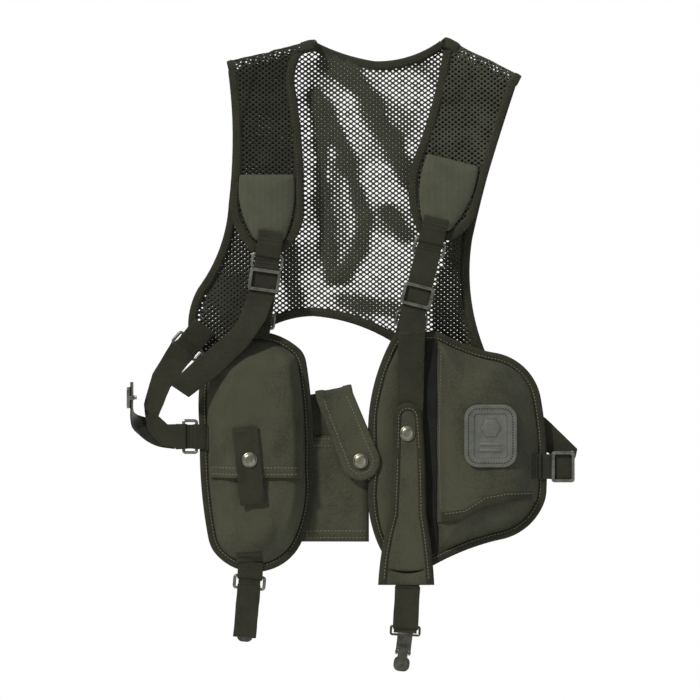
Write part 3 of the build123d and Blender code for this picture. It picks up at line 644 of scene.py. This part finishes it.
def net(name, loops, forward, openness, shift=(0.0, 0.0), margin=2.0, place=None, within=None,
        finish=NET):
    """Open knitted mesh: rows of small rounded holes, every other row shifted by half a hole."""
    rim = np.vstack(loops)
    low, high = rim.min(0), rim.max(0)
    centres = np.array([(low[0] + shift[0] + (i + (j % 2) / 2) * PITCH_X, low[1] + shift[1]
        + j * PITCH_Z / 2) for j in range(int((high[1] - low[1]) / PITCH_Z * 2) + 2)
        for i in range(int((high[0] - low[0]) / PITCH_X) + 2)])
    centres = centres[inside(centres, loops)]
    centres = centres[gap_to(centres, loops) > margin]
    if within:
        centres = centres[inside(centres, within)]
    keys, corners, cells = {}, [], []
    for c in centres:
        ids = []
        for k in c + CELL:
            key = (round(k[0] * 20), round(k[1] * 20))
            found = next((keys[(key[0] + a, key[1] + b)] for a in (0, 1, -1) for b in (0, 1, -1)
                if (key[0] + a, key[1] + b) in keys), None)
            if found is None:
                found = keys[key] = len(corners)
                corners.append(k)
            ids.append(found)
        cells.append(ids)
    cells, corners = np.array(cells), np.array(corners)
    corners = corners + np.random.default_rng(3).normal(0, 0.13, corners.shape)
    scale = openness(centres)
    scale = scale * (1 + np.random.default_rng(4).normal(0, 0.07, len(scale)))
    rings = (centres[:, None, :] + HOLE[None] * scale[:, None, None]).reshape(-1, 2)
    flat = np.vstack([corners, rings])
    count, first = len(flat), len(corners)
    crest = np.where(np.arange(count) < first, CREST, 0.0)
    ahead = forward(flat)
    points = sheets(flat, ahead + crest, ahead - YARN_THICK - crest + CREST)
    if place:
        points = place(points)
    faces, sides = [], []
    for n, ids in enumerate(cells):
        ring = [first + n * 6 + k for k in range(6)]
        for k in range(6):
            a, b, c, d = ids[k], ids[(k + 1) % 6], ring[(k + 1) % 6], ring[k]
            faces += [(a, b, c, d), (d + count, c + count, b + count, a + count),
                (d, c, c + count, d + count)]
            sides.append((a, b))
    made = mesh_piece(name, points, faces + walls(sides, count), finish)
    return made


# ---- the back: open mesh in a leaning plane, with gathered pleats ----
LEAN = math.tan(math.radians(1.5))
back_low, back_high = box_mm("back_mesh_panel")
back_edge = outlines("back_mesh_panel")
PLEATS = [([(-50, -20), (-22, -43), (0, -77), (15, -112), (28, -138)], 11.5),
    ([(-66, -57), (-59, -92), (-58, -148), (-54, -193), (-47, -240)], 8.0),
    ([(-55, -66), (-38, -108), (-26, -144), (-16, -177), (-20, -211), (-38, -238)], 8.5)]
GATHERS = [([(8, -172), (26, -196)], 9, 0.7), ([(-36, -262), (22, -274)], 9, 0.55),
    ([(-92, -212), (-84, -276)], 10, 0.6), ([(-40, -26), (40, -24)], 8, 0.35),
    ([(-45, -130), (-40, -200)], 9, 0.35), ([(-178, -240), (-112, -300)], 24, 0.5),
    ([(84, -170), (104, -310)], 20, 0.62)]


def back_plane(points):
    """Forward position of the middle of the leaning back."""
    return -back_low.y - 0.6 - (back_high.z - points[:, 1]) * LEAN


def near(points, line, wide):
    uneven = 1 + 0.7 * wrinkle(points, 5.0, 22, 1.0)
    gap = gap_to(points, [np.array(line, float)], closed=False)
    return np.exp(-(gap / (wide * uneven)) ** 4)


def back_forward(points):
    relief = sum(2.2 * near(points, line, wide) for line, wide in PLEATS)
    return (back_plane(points) + wrinkle(points, 2.0, 70, 3.2) + wrinkle(points, 9.0, 24, 1.0)
        + relief - 1.5)


def back_open(points):
    closed = (sum(0.85 * near(points, line, wide) for line, wide in PLEATS)
        + sum(share * near(points, line, wide) for line, wide, share in GATHERS) + 0.3
        * np.clip(wrinkle(points, 7.0, 40, 2.2), 0, 1))
    return np.clip(0.96 - closed, 0.16, 1.0)


wide_back = [inset(back_edge[0], -4.5)]
back = net("back_net", wide_back, back_forward, back_open, margin=0.5)
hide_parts("back_mesh_panel")
corners = [
    np.array([(-190, -318), (-150, -322), (-113, -290), (-108, -228), (-150, -170), (-165, -215)],
        float),
    np.array([(50, -322), (108, -315), (92, -255), (94, -185), (84, -175), (68, -205), (54, -250)],
        float)]
for tag, corner in zip(("left", "right"), corners):
    net(f"back_{tag}_lining", [corner], lambda p: back_forward(p) - 1.9, flat_at(0.42),
        shift=(2.1, 1.1), margin=1.0, within=wide_back)


def tape_rise(points, gap):
    """Folded tape: rounded at both edges, a little pinched where it is sewn."""
    crown = 1.3 * (1 - np.exp(-gap / 1.1))
    return crown - 0.35 * ridge(gap, 2.6, 0.7) + wrinkle(points, 4.0, 5, 0.35)


SEAM_IN, SEAM_LOW = 2.8, 0.12        # a tape's seam from its edge, and how far it sinks in


def bound(name, node, front_plane, rear_plane, loops=None, place=None, thread=THREAD):
    """Edge tape over a region, with its dashed seams; it stands for node if there is one."""
    loops = loops or outlines(node)
    made = shell(name, loops, lambda p, g: front_plane(p) - 1.2 + tape_rise(p, g),
        lambda p, g: rear_plane(p) + 1.2 - tape_rise(p, g), TAPE, step=1.7, place=place)
    if node:
        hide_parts(node)
    centre = (np.vstack(loops).min(0) + np.vstack(loops).max(0)) / 2
    lines = [run for loop in (loops[1:] if len(loops) == 2 else loops)
        for run in seam_in_tape(loop, loops, centre)]
    stitches(name + "_seam", lines, lambda p: front_plane(p) - SEAM_LOW, thread, place=place)
    stitches(name + "_rear_seam", lines, lambda p: rear_plane(p) + SEAM_LOW, DULL, place=place)


def seam_in_tape(loop, loops, centre):
    """Runs of the seam beside a tape's inner edge, left out where the tape turns or ends."""
    line = resampled(loop, 2.0)
    side = sideways(line)
    outward = np.sign((side * (line - centre)).sum(1))[:, None]
    moved = line + side * outward * SEAM_IN
    best = np.nonzero(inside(moved, loops) & (gap_to(moved, loops) > SEAM_IN * 0.9))[0]
    runs = np.split(best, np.nonzero(np.diff(best) > 1)[0] + 1)
    return [moved[run] for run in runs if len(run) > 4]


binding_front = front_of("back_binding")


def back_tape_front(points):
    return binding_front - (-0.98 - points[:, 1]) * LEAN


bound("back_tape", "back_binding", back_tape_front, lambda p: back_tape_front(p) - 4.0, thread=DULL)

# ---- shoulders: doubled mesh yokes rolled over the fold line, tape and ribbed pads ----
ROLLS = {"left": ((-153, -34), (-70, -13)), "right": ((69, -12), (139, -48))}
ROLL_RADIUS, YOKE_FRONT = 10.0, 8.0
YOKE_TAPE = flat_at(YOKE_FRONT + 1.0), flat_at(YOKE_FRONT - 3.0)
FOLD_LEAN = {"left": 6.0, "right": 8.0}


def folded(start, run, up, radius, front):
    """Carries flat points beyond a fold line round a roll and on down the rear.
    Points at front turn with the given radius."""
    def place(points):
        made = points.copy()
        beyond = (points[:, [0, 2]] - start) @ up
        far = beyond > 0
        turn = np.clip(beyond[far] / radius, 0, math.pi)
        rest = beyond[far] - turn * radius
        reach = radius + (points[far, 1] - front)
        along = (points[far][:, [0, 2]] - start) @ run
        spot = start + along[:, None] * run + (reach * np.sin(turn) - rest)[:, None] * up
        made[far, 0], made[far, 2] = spot[:, 0], spot[:, 1]
        made[far, 1] = front - radius + reach * np.cos(turn)
        return made
    return place


for side, (start, end) in ROLLS.items():
    start, end = np.array(start, float), np.array(end, float)
    run = (end - start) / np.linalg.norm(end - start)
    up = np.array([-run[1], run[0]])
    around = ROLL_RADIUS * math.pi
    place = folded(start, run, up, ROLL_RADIUS, YOKE_FRONT)
    yoke = inset(outlines(f"{side}_shoulder_mesh")[0], -4.0, 2.0)
    # the flat yoke carried on beyond the fold line, as wide as the roll
    left_edge, right_edge = start + run * 5, end - run * 5
    flat_part = opened(yoke[((yoke - start) @ up) < 0.5])
    flat_part = nearest_first(flat_part[::-1], left_edge)[::-1]
    full = np.vstack([flat_part, [left_edge, left_edge + up * around, right_edge + up * around,
        right_edge]])

    def yoke_forward(points, seed=3.0 if side == "left" else 6.0):
        crease = near(points, [(-113, -10), (-126, -50), (-136, -95)], 4.0) if side == "left" else 0
        return YOKE_FRONT - 0.3 + wrinkle(points, seed, 26, 1.3) - 1.6 * crease

    # the right yoke's net takes the painted-light copy of the yarn, the left yoke's the
    # painted-shade copy
    outer = net(f"{side}_yoke_net", [full], yoke_forward,
        lambda p: np.clip(0.92 + wrinkle(p, 8.0, 18, 0.35), 0.6, 1.1), margin=0.5, place=place,
        finish=NET_PAINTED_SHADOW if side == "left" else NET_PAINTED_LIT)
    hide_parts(f"{side}_shoulder_mesh")
    net(f"{side}_yoke_lining", [full[((full - start) @ up) < 1.0]], lambda p: yoke_forward(p) - 2.2,
        flat_at(0.22), shift=(1.7, 1.3), margin=1.0)
    bound(f"{side}_yoke_tape", f"{side}_yoke_binding", *YOKE_TAPE, thread=DULL)
    tags = ("outer", "inner") if side == "left" else ("inner", "outer")
    for tag, edge, inward in zip(tags, (start, end), (run, -run)):
        out, wide, lean = (2.0, 8.0, 0.0) if tag == "outer" else (-5.0, 13.0, FOLD_LEAN[side])
        edge = edge + inward * out
        strip = np.array([edge, edge + inward * wide, edge + inward * wide + up * around,
            edge + up * around - inward * lean])
        bound(f"{side}_{tag}_fold_tape", None, *YOKE_TAPE, [resampled(strip, 2.0)], place, DULL)
    pad_edge = inset(outlines(f"{side}_shoulder_pad")[0], -1.4, 2.0)
    pad_rear = rear_of(f"{side}_shoulder_pad")

    def pad_front(points, gap):
        crown = 1.2 + (5.0 - 1.2) * (1 - np.exp(-gap / 5.0))
        return pad_rear + crown + wrinkle(points, 12.0, 20, 0.9) + wrinkle(points, 13.0, 6, 0.25)

    pad = shell(f"{side}_pad", [pad_edge], pad_front, flat_at(pad_rear + 0.1), PAD, step=2.2)
    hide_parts(f"{side}_shoulder_pad")
    inflate(pad, pad_edge, 1.5, 3.0, 1.6)


def rounded(gap, base, reach, radius):
    """A padded front: it swells from base at the seam to reach, in a soft slope."""
    t = np.clip(gap / radius, 0, 1)
    return base + (reach - base) * np.sin(t * math.pi / 2) ** 1.15


# ---- radio pouch: panel, rounded body, cover, pull tab ----
PANEL_TAPE = flat_at(5.0), flat_at(-0.5)
CLOTH = 1.9              # a cover's thickness
panel = softened(outlines("pouch_rear_panel")[0])
piece = shell("pouch_panel", [inset(panel, -1.5)], lambda p, g: 3.0 + np.minimum(g, 4) * 0.25,
    flat_at(0.2), NYLON, step=4)
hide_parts("pouch_rear_panel")
bound("pouch_tape", "pouch_binding", *PANEL_TAPE, [softened(l) for l in outlines("pouch_binding")])
pouch_edge = inset(panel, -0.6, 2.0)
POUCH_REACH = 25.0


def pouch_front(points, gap=None):
    gap = gap_to(points, [pouch_edge]) if gap is None else gap
    tall = 0.94 + 0.06 * np.sin(np.clip((-330 - points[:, 1]) / 170, 0, 1) * math.pi)
    steep = np.clip((points[:, 0] + 104) / 14, 0, 1)
    return (rounded(gap, 5.0, POUCH_REACH, 27 - 15 * steep) * tall + wrinkle(points, 21.0, 38, 2.2)
        + wrinkle(points, 22.0, 14, 0.7) * np.clip(gap / 6, 0, 1))


body_piece = shell("pouch_front", [pouch_edge], pouch_front, flat_at(4.3), NYLON, step=2.4)
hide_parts("pouch_body", "pouch_hood")
inflate(body_piece, pouch_edge, 2, 2.5, 1.2)
FLAP_HEM = box_mm("pouch_flap")[0].z
HEM_ROWS = (3.8, 10.2)
cover_edge = clipped(clipped(clipped(inset(panel, 0.8, 2.0), (0, FLAP_HEM), (0, 1)), (-172.5, 0),
    (1, 0)), (-77.5, 0), (-1, 0))


def cover_front(points, gap):
    hem = points[:, 1] - FLAP_HEM
    lift = 2.8 + 2.4 * ridge(hem, 0, 16) + wrinkle(points, 31.0, 26, 1.2)
    pinch = 0.5 * ridge(hem, HEM_ROWS[0], 1.4) + 0.5 * ridge(hem, HEM_ROWS[1], 1.6)
    return pouch_front(points) + lift - 0.9 * np.exp(-gap / 1.2) - pinch


cover = shell("pouch_cover", [cover_edge], cover_front, lambda p, g: cover_front(p, g * 0 + 9)
    - CLOTH, NYLON, None, step=2.2)
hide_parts("pouch_flap")
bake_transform(cover)
stitches("cover_hem_seam", [run_of([(-168, FLAP_HEM + row), (-82, FLAP_HEM + row)])
    for row in HEM_ROWS], lambda p: cover_front(p, np.full(len(p), 9.0)), body="pouch_flap_body")


def strap_copy(node, body="root", wave=0.45):
    return copy_node(node, WEBBING, body, bevel=0.3, wave=wave, fine=5.0)


strap_copy("pouch_pull_tab", "pouch_flap_body", 0.9)

# ---- middle pouch: flat pocket with a taped flap folded over from behind ----
pockets = outlines("middle_pouch")
middle_rear, middle_front = rear_of("middle_pouch"), front_of("middle_pouch")


def pocket_front(points, gap):
    return (rounded(gap, middle_rear + 4.5, middle_front, 9) - 0.4 + wrinkle(points, 41.0, 30, 1.6)
        + wrinkle(points, 42.0, 11, 0.5) - 0.8 * ridge(points[:, 1], -410, 3.0))


rear_sheet = shell("middle_rear", [clipped(pockets[0], (0, -349), (0, -1))],
    lambda p, g: middle_rear + 1.9 + np.minimum(g, 2) * 0.2, flat_at(middle_rear + 0.1), NYLON)
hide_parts("middle_pouch")
pocket = shell("middle_pocket", [pockets[1]], pocket_front, flat_at(middle_rear + 2.2), NYLON,
    step=2.4)
inflate(pocket, pockets[1], 3, 2.0, 1.5)
(x0, z0), (x1, z1) = pockets[1].min(0), pockets[1].max(0)
rows = [[(x0 + 1, z1 - 3), (x1 - 1, z1 - 3)], [(x0 + 1, z1 - 10), (x1 - 1, z1 - 10)],
    [(x0 + 5, z0 + 5), (x0 + 5, z1 - 12)], [(x0 + 3, z0 + 4), (x1 - 3, z0 + 4)],
    [(x0 + 3, z0 + 11), (x1 - 3, z0 + 11)]]
stitches("middle_pocket_seam", [run_of(row) for row in rows],
    lambda p: pocket_front(p, gap_to(p, [pockets[1]])))

flap_edge = resampled(outlines("middle_flap_binding")[0], 2.0)
flap_front = front_of("middle_flap_binding")
hinge = JOINTS["middle_flap_hinge"]
across = np.array([-hinge["axis"][0], -hinge["axis"][2]])
square = np.array([-across[1], across[0]])
spot = MM * np.array([hinge["pos_m"][0], hinge["pos_m"][2]]) - square * 5.0
FOLD = 7.2               # the radius that the flap turns with
kept = opened(flap_edge[(flap_edge - spot) @ square < -1.0])
beyond = square * (FOLD * math.pi + 4)
flap_loop = np.vstack([kept, [kept[-1] + beyond], [kept[0] + beyond]])


def flap_surface(points, gap=None):
    gap = gap_to(points, [flap_loop]) if gap is None else gap
    rim = 1.0 * np.clip((9.5 - gap) / 1.2, 0, 1)
    return (flap_front - 1.6 + rim - 0.7 * np.exp(-gap / 0.9) + wrinkle(points, 51.0, 24, 0.9)
        - 0.35 * ridge(gap, 7.0, 0.7))


middle_flap = shell("middle_flap_cloth", [flap_loop], flap_surface,
    lambda p, g: flap_surface(p, g * 0 + 12) - CLOTH, NYLON, None, step=1.8,
    place=folded(spot, across, square, FOLD, flap_front))
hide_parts("middle_flap", "middle_flap_binding")
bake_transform(middle_flap)
seam = clipped(inset(flap_loop, 7.0, 2.0), spot - square * 4, -square)
stitches("middle_flap_seam", [opened(seam)], flap_surface, body="middle_flap_body")


def sewn_end(name, loop, level):
    """The end of a webbing tab sewn flat on the cloth below it, with its rows of tacks."""
    loop = resampled(np.array(loop, float), 1.2)
    shell(name, [loop], lambda p, g: level(p) + 1.3 - 0.5 * np.exp(-g / 0.5), lambda p, g: level(p)
        - 0.2, WEBBING, step=1.2)
    low, high = loop.min(0), loop.max(0)
    middle = (low + high) / 2
    if high[0] - low[0] > high[1] - low[1]:
        lines = [[(low[0] + 2, middle[1] + k), (high[0] - 2, middle[1] + k)] for k in (-2.5, 2.5)]
    else:
        lines = [[(middle[0], low[1] + 2), (middle[0], high[1] - 2)]]
    stitches(name + "_tacks", [run_of(line) for line in lines], lambda p: level(p) + 1.35, DULL,
        pitch=2.6)


sewn_end("leg_tab_end", [(-143, -524.5), (-117.5, -522.5), (-118.3, -513), (-143.4, -514.6)],
    lambda p: np.maximum(6.9, pouch_front(p)))
sewn_end("side_tab_end", [(-175, -413), (-169.5, -413), (-169.5, -387.5), (-175, -387.5)],
    lambda p: np.maximum(5.6, pouch_front(p)))


# ---- side bag: panel, crowned front, lower pocket under the hem, badge ----
bag_panel = softened(outlines("bag_rear_panel")[0], 5)
piece = shell("bag_panel", [inset(bag_panel, -1.5)], lambda p, g: 3.4 + np.minimum(g, 6) * 0.2
    + wrinkle(p, 61.0, 30, 0.8), flat_at(0.2), NYLON, step=3.5)
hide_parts("bag_rear_panel")
bound("bag_tape", "bag_binding", *PANEL_TAPE, [softened(l, 5) for l in outlines("bag_binding")])
bag_body = box_mm("bag_front_cover")[0].x
bag_edge = clipped(inset(bag_panel, -0.6, 2.0), (bag_body, 0), (1, 0))
HEM_SEAM = 8.5           # above the hem
HEM = np.array([(50, -484), (58, -484), (84, -480), (104, -467), (126, -463), (170, -463)], float)


def bag_front(points, gap=None):
    gap = gap_to(points, [bag_edge]) if gap is None else gap
    flat_side = np.clip((bag_body + 26 - points[:, 0]) / 20, 0, 1)
    level = rounded(gap, 4.6, 30.6, 30 - 18 * flat_side)
    slope = np.clip((points[:, 0] - bag_body) / 60, 0, 1)
    hollow = np.clip((-484 - points[:, 1]) / 8, 0, 1) * np.clip((76 - points[:, 0]) / 18, 0, 1)
    level = level * (1 - 0.55 * hollow)
    return (level * (0.90 + 0.10 * slope) + wrinkle(points, 62.0, 45, 2.4) + wrinkle(points, 63.0,
        15, 0.7) * np.clip(gap / 8, 0, 1))


piece = shell("bag_lower", [bag_edge], lambda p, g: bag_front(p, g) - 1.0, flat_at(4.2), NYLON,
    step=2.8)
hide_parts("bag_lower_pocket")
above = resampled(bag_edge, 2.0)
above = opened(above[above[:, 1] > np.interp(above[:, 0], HEM[:, 0], HEM[:, 1])])
hem_line = run_of(HEM, 2.0)
hem_line = hem_line[(hem_line[:, 0] > bag_edge[:, 0].min() + 0.5) & (hem_line[:, 0] < 156)]
cover_loop = np.vstack([above, nearest_first(hem_line, above[-1])])


def bag_cover_front(points, gap=None):
    hem = points[:, 1] - np.interp(points[:, 0], HEM[:, 0], HEM[:, 1])
    return bag_front(points) + 1.0 + 1.1 * ridge(hem, 0, 9.0) - 0.5 * ridge(hem, HEM_SEAM, 1.6)


piece = shell("bag_cover", [cover_loop], bag_cover_front, lambda p, g: bag_front(p) - 0.6, NYLON,
    step=2.6)
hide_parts("bag_front_cover")
inflate(piece, cover_loop, 3, 2.0, 1.2)
hem_seam = run_of(HEM + (0, HEM_SEAM))
hem_seam = hem_seam[(hem_seam[:, 0] > bag_body + 4) & (hem_seam[:, 0] < 153)]
stitches("bag_hem_seam", [hem_seam], lambda p: bag_cover_front(p) + 0.7)
band = hem_line[1:-1]
shell("bag_hem_band", [np.vstack([band, (band + (0, 10.5))[::-1]])], lambda p, g: bag_cover_front(p)
    + 0.8 - 0.5 * np.exp(-g / 0.8), lambda p, g: bag_cover_front(p) - 0.3, TAPE, step=1.7)
stitches("bag_side_seam", [run_of([(60.5, -313.0), (59.0, -400.0), (60.0, -470.0)])],
    bag_cover_front)

# a near-black sheet over the bag's side between the sheath and the body: painted shade in the
# groove there
gusset = clipped(clipped(inset(bag_panel, 0.8, 2.0), (bag_body + 1.0, 0), (-1, 0)), (38, 0), (1, 0))
shell("bag_gusset", [gusset], lambda p, g: 5.4 + wrinkle(p, 64.0, 14, 0.5), flat_at(4.6), GAP_SHADOW,
    step=2.0)
sewn_end("bag_tab_end", [(151, -440.5), (160.5, -440.5), (160.5, -414.5), (151, -414.5)],
    bag_cover_front)

copy_node("emblem_patch", RUBBER, "root", bevel=0.45, name="badge")
badge_edge = outlines("emblem_patch")[0]
badge_front = front_of("emblem_patch")
# dark dashes and lines on the badge: painted shade in its holes and in the grooves of its frames
stitches("badge_holes", [inset(badge_edge, 3.6, 1.5)], flat_at(badge_front - 0.45), HOLLOW_SHADOW, pitch=2.6,
    length=1.5, radius=0.75, closed=True)
for loop in outlines("emblem_patch")[1:4:2]:
    stitches(f"badge_line_{len(loop)}", [resampled(loop, 2.0)], flat_at(badge_front - 0.95), HOLLOW_SHADOW,
        pitch=2.0, radius=0.35, closed=True)

# ---- sheath over the right strap, one sheet that runs on up into its tongue ----
lower_loops = outlines("sheath")
sheath_front = front_of("sheath")
bend_at = JOINTS["sheath_tongue_hinge"]["pos_m"]
line_z = MM * bend_at[2]
low_part = resampled(lower_loops[0], 2.0)
low_part = opened(low_part[low_part[:, 1] < line_z - 0.6])
high_part = resampled(outlines("sheath_tongue")[0], 2.0)
high_part = opened(high_part[high_part[:, 1] > line_z + 0.6])
sheath_edge = np.vstack([low_part, nearest_first(high_part, low_part[-1])])
slot_low, slot_high = lower_loops[1].min(0), lower_loops[1].max(0)
across_slot = np.linspace(slot_low[0], slot_high[0], 24)
sag = np.sin(np.linspace(0, math.pi, 24))
slot = np.vstack([np.stack([across_slot, slot_high[1] - 0.8 - 1.6 * sag], 1),
    np.stack([across_slot, slot_high[1] - 1.2 - 3.2 * sag], 1)[::-1]])


def sheath_face(points, gap=None):
    gap = gap_to(points, [sheath_edge]) if gap is None else gap
    low = np.clip((line_z - 4 - points[:, 1]) / 20, 0, 1)
    crown = 1.3 * (1 - np.exp(-gap / 5.0)) * low
    return (sheath_front - 0.4 + crown - 0.8 * np.exp(-gap / 0.9) + wrinkle(points, 71.0, 26, 1.1)
        * low - 0.4 * ridge(gap, 6.0, 0.7))


def sheath_back(points, gap):
    wall = 7.2 * ridge(gap_to(points, [sheath_edge]), 0, 1.8)
    wall[points[:, 1] >= line_z - 5] = 0
    return sheath_face(points, np.full(len(points), 9.0)) - CLOTH - wall


sheath = shell("sheath_cloth", [sheath_edge, slot], sheath_face, sheath_back, NYLON, None, step=1.8)
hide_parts("sheath", "sheath_tongue")
floor_line = sheath_edge[:, 1].min()
outer_side = opened(sheath_edge[sheath_edge[:, 1] > floor_line + 1.0])
inner_side = inset(sheath_edge, 8.0, 1.5)
inner_side = opened(inner_side[inner_side[:, 1] > floor_line + 9.5])
inner_side = nearest_first(inner_side, outer_side[-1])
feet = [(inner_side[0][0], floor_line + 0.8), (inner_side[-1][0], floor_line + 0.8)]
border = np.vstack([outer_side, feet[:1], inner_side, feet[1:]])
sheath_tape = shell("sheath_tape", [border], lambda p, g: sheath_face(p) + 1.0 - 0.8
    * np.exp(-g / 0.8) - 0.3 * ridge(g, 2.4, 0.7), lambda p, g: sheath_face(p) - 0.5, TAPE, None,
    step=1.7)
for piece in (sheath, sheath_tape):
    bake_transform(piece)


def on_sheath(points):
    return sheath_face(points) + 0.7


rows = inset(sheath_edge, 5.4, 1.5)
low_rows = opened(clipped(clipped(rows, (0, line_z - 5), (0, -1)), (0, floor_line + 6), (0, 1)))
left_side = low_rows[:, 0] < 26
stitches("sheath_seam", [low_rows[left_side], low_rows[~left_side]], on_sheath)
stitches("tongue_seam", [opened(clipped(rows, (0, line_z + 5), (0, 1)))], on_sheath,
    body="sheath_tongue_body")

# ---- webbing ----
for node in sorted(SLOTS):
    if SLOTS[node] == "webbing" and node != "pouch_pull_tab":
        # the left slider is too close round its strap for any wave
        strap_copy(node, BODY_OF[node], 0.0 if node == "left_shoulder_strap" else 0.45)
    if SLOTS[node] == "hardware":
        copy_node(node, CLIP if "clip" in node else STEEL, BODY_OF[node], bevel=0.0
            if "ring" in node else 0.3)


def drop_islands(made, past):
    """Takes away the separate parts of a piece that lie wholly to the left of past."""
    work = bmesh.new()
    work.from_mesh(made.data)
    left = set(work.verts)
    while left:
        island, front = set(), {left.pop()}
        while front:
            v = front.pop()
            island.add(v)
            near_by = {edge.other_vert(v) for edge in v.link_edges} & left
            left -= near_by
            front |= near_by
        if max(v.co.x for v in island) < past:
            bmesh.ops.delete(work, geom=list(island), context="VERTS")
    work.to_mesh(made.data)
    work.free()


# the side strap's far end turns edge-on through its slider and twists back to the ring
drop_islands(bpy.data.objects["left_side_strap_look"], -0.2)
ribbon("side_strap_turn", [[(-247.7, 19, -344), (-247.7, -6, -344)],
    [(-247.7, 19, -358), (-247.7, -6, -358)], [(-247.7, 19, -372), (-247.7, -6, -372)],
    [(-247.7, 18.5, -380), (-244, -6, -377)], [(-246, 17, -389), (-238, -5, -379)],
    [(-240, 13, -396), (-231, -4, -381)], [(-232, 8, -403), (-224, -3, -384)],
    [(-221, 4, -408.5), (-214, 0, -386)], [(-205, 2.0, -411), (-203.5, 1.9, -387.5)]])


def turned(x, z, tilt, wide, tall):
    """A rectangle's corners about a centre, tilted like the strap it is on."""
    c, t = math.cos(math.radians(tilt)), math.sin(math.radians(tilt))
    half = wide / 2, tall / 2
    return np.array([(x + a * half[0] * c - b * half[1] * t, z + a * half[0] * t + b * half[1] * c)
        for a, b in ((-1, -1), (1, -1), (1, 1), (-1, 1))])


def bight(node, tilt, wide=24.0, tall=7.4):
    """The two turns of webbing that meet inside a ring and fill it."""
    x, middle, z = middle_of(node)
    up = (-math.sin(math.radians(tilt)), math.cos(math.radians(tilt)))

    def face(points, gap):
        return middle + 1.5 - 0.9 * ridge((points - (x, z)) @ up, 0, 0.7)

    shell(node + "_bight", [resampled(turned(x, z, tilt, wide, tall), 1.0)], face,
        lambda p, g: 2 * middle - face(p, g), WEBBING, BODY_OF[node], step=1.0)


for node, tilt in (("left_shoulder_ring", -8), ("right_shoulder_ring", -14), ("left_load_ring", -8),
        ("right_load_ring", -14), ("pouch_side_ring", 90), ("corner_ring", -41)):
    bight(node, tilt)
bight("leg_ring", -5, 22.0)
bight("clip_loop", -3, 23.0, 4.6)

lining = clipped(inset(sheath_edge, 1.0, 2.0), (0, -498), (0, -1))
shell("sheath_lining", [lining], flat_at(6.2), flat_at(5.2), NYLON, step=3)
low, high = box_mm("drop_strap")
shell("drop_strap_top", [resampled(turned((low.x + high.x) / 2 + 1, high.z - 0.3, -3, 24, 4), 1.5)],
    flat_at(11.6), flat_at(10.4), WEBBING, "drop_strap_body", step=1.5)

# rows of bar tacks across the webbing ends
TACKS = {"left_pad_tab": ((-111, -202, -8), (-111.5, -206, -8)), "right_pad_tab": ((56, -187, -14),
    (55, -191, -14)), "leg_tab": ((-129.5, -524, -5),), "left_load_tab": ((-97.5, -304, -8),),
    "pouch_pull_tab": ((-134, -392, 5.6),)}
for node, rows in TACKS.items():
    lines = [run_of(turned(x, z, tilt, 21, 0.01)[:2]) for x, z, tilt in rows]
    stitches(node + "_tacks", lines, flat_at(front_of(node) + 0.1), DULL, body=BODY_OF[node],
        pitch=2.6)

copy_node("snap_studs", SNAP, "root", bevel=0.15)


TURNS = 48
# radius and height as shares of the cap's
DOME = ((0.80, 0.0), (0.97, 0.0), (1.0, 0.10), (0.99, 0.22), (0.94, 0.30), (0.90, 0.31),
    (0.88, 0.36), (0.84, 0.52), (0.74, 0.70), (0.60, 0.84), (0.44, 0.93), (0.36, 0.955),
    (0.32, 0.94), (0.28, 0.955), (0.16, 0.99), (0.06, 1.0))


def snap(node, body):
    """A domed cap with a rolled rim and a shallow ring pressed into its crown."""
    low, high = box_mm(node)
    x, z, rear, front = (low.x + high.x) / 2, (low.z + high.z) / 2, -high.y, -low.y
    wide = (high.x - low.x) / 2
    points = [(x + wide * r * math.cos(2 * math.pi * k / TURNS), rear + (front - rear) * h,
        z + wide * r * math.sin(2 * math.pi * k / TURNS)) for r, h in DOME for k in range(TURNS)]
    made = mesh_piece(node + "_dome", points, tube(0, len(DOME), TURNS), SNAP, body)
    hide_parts(node)


for node in ("pouch_snap_cap", "middle_snap_cap", "sheath_snap_cap"):
    snap(node, BODY_OF[node])

# ---- sizes ----
low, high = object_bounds()
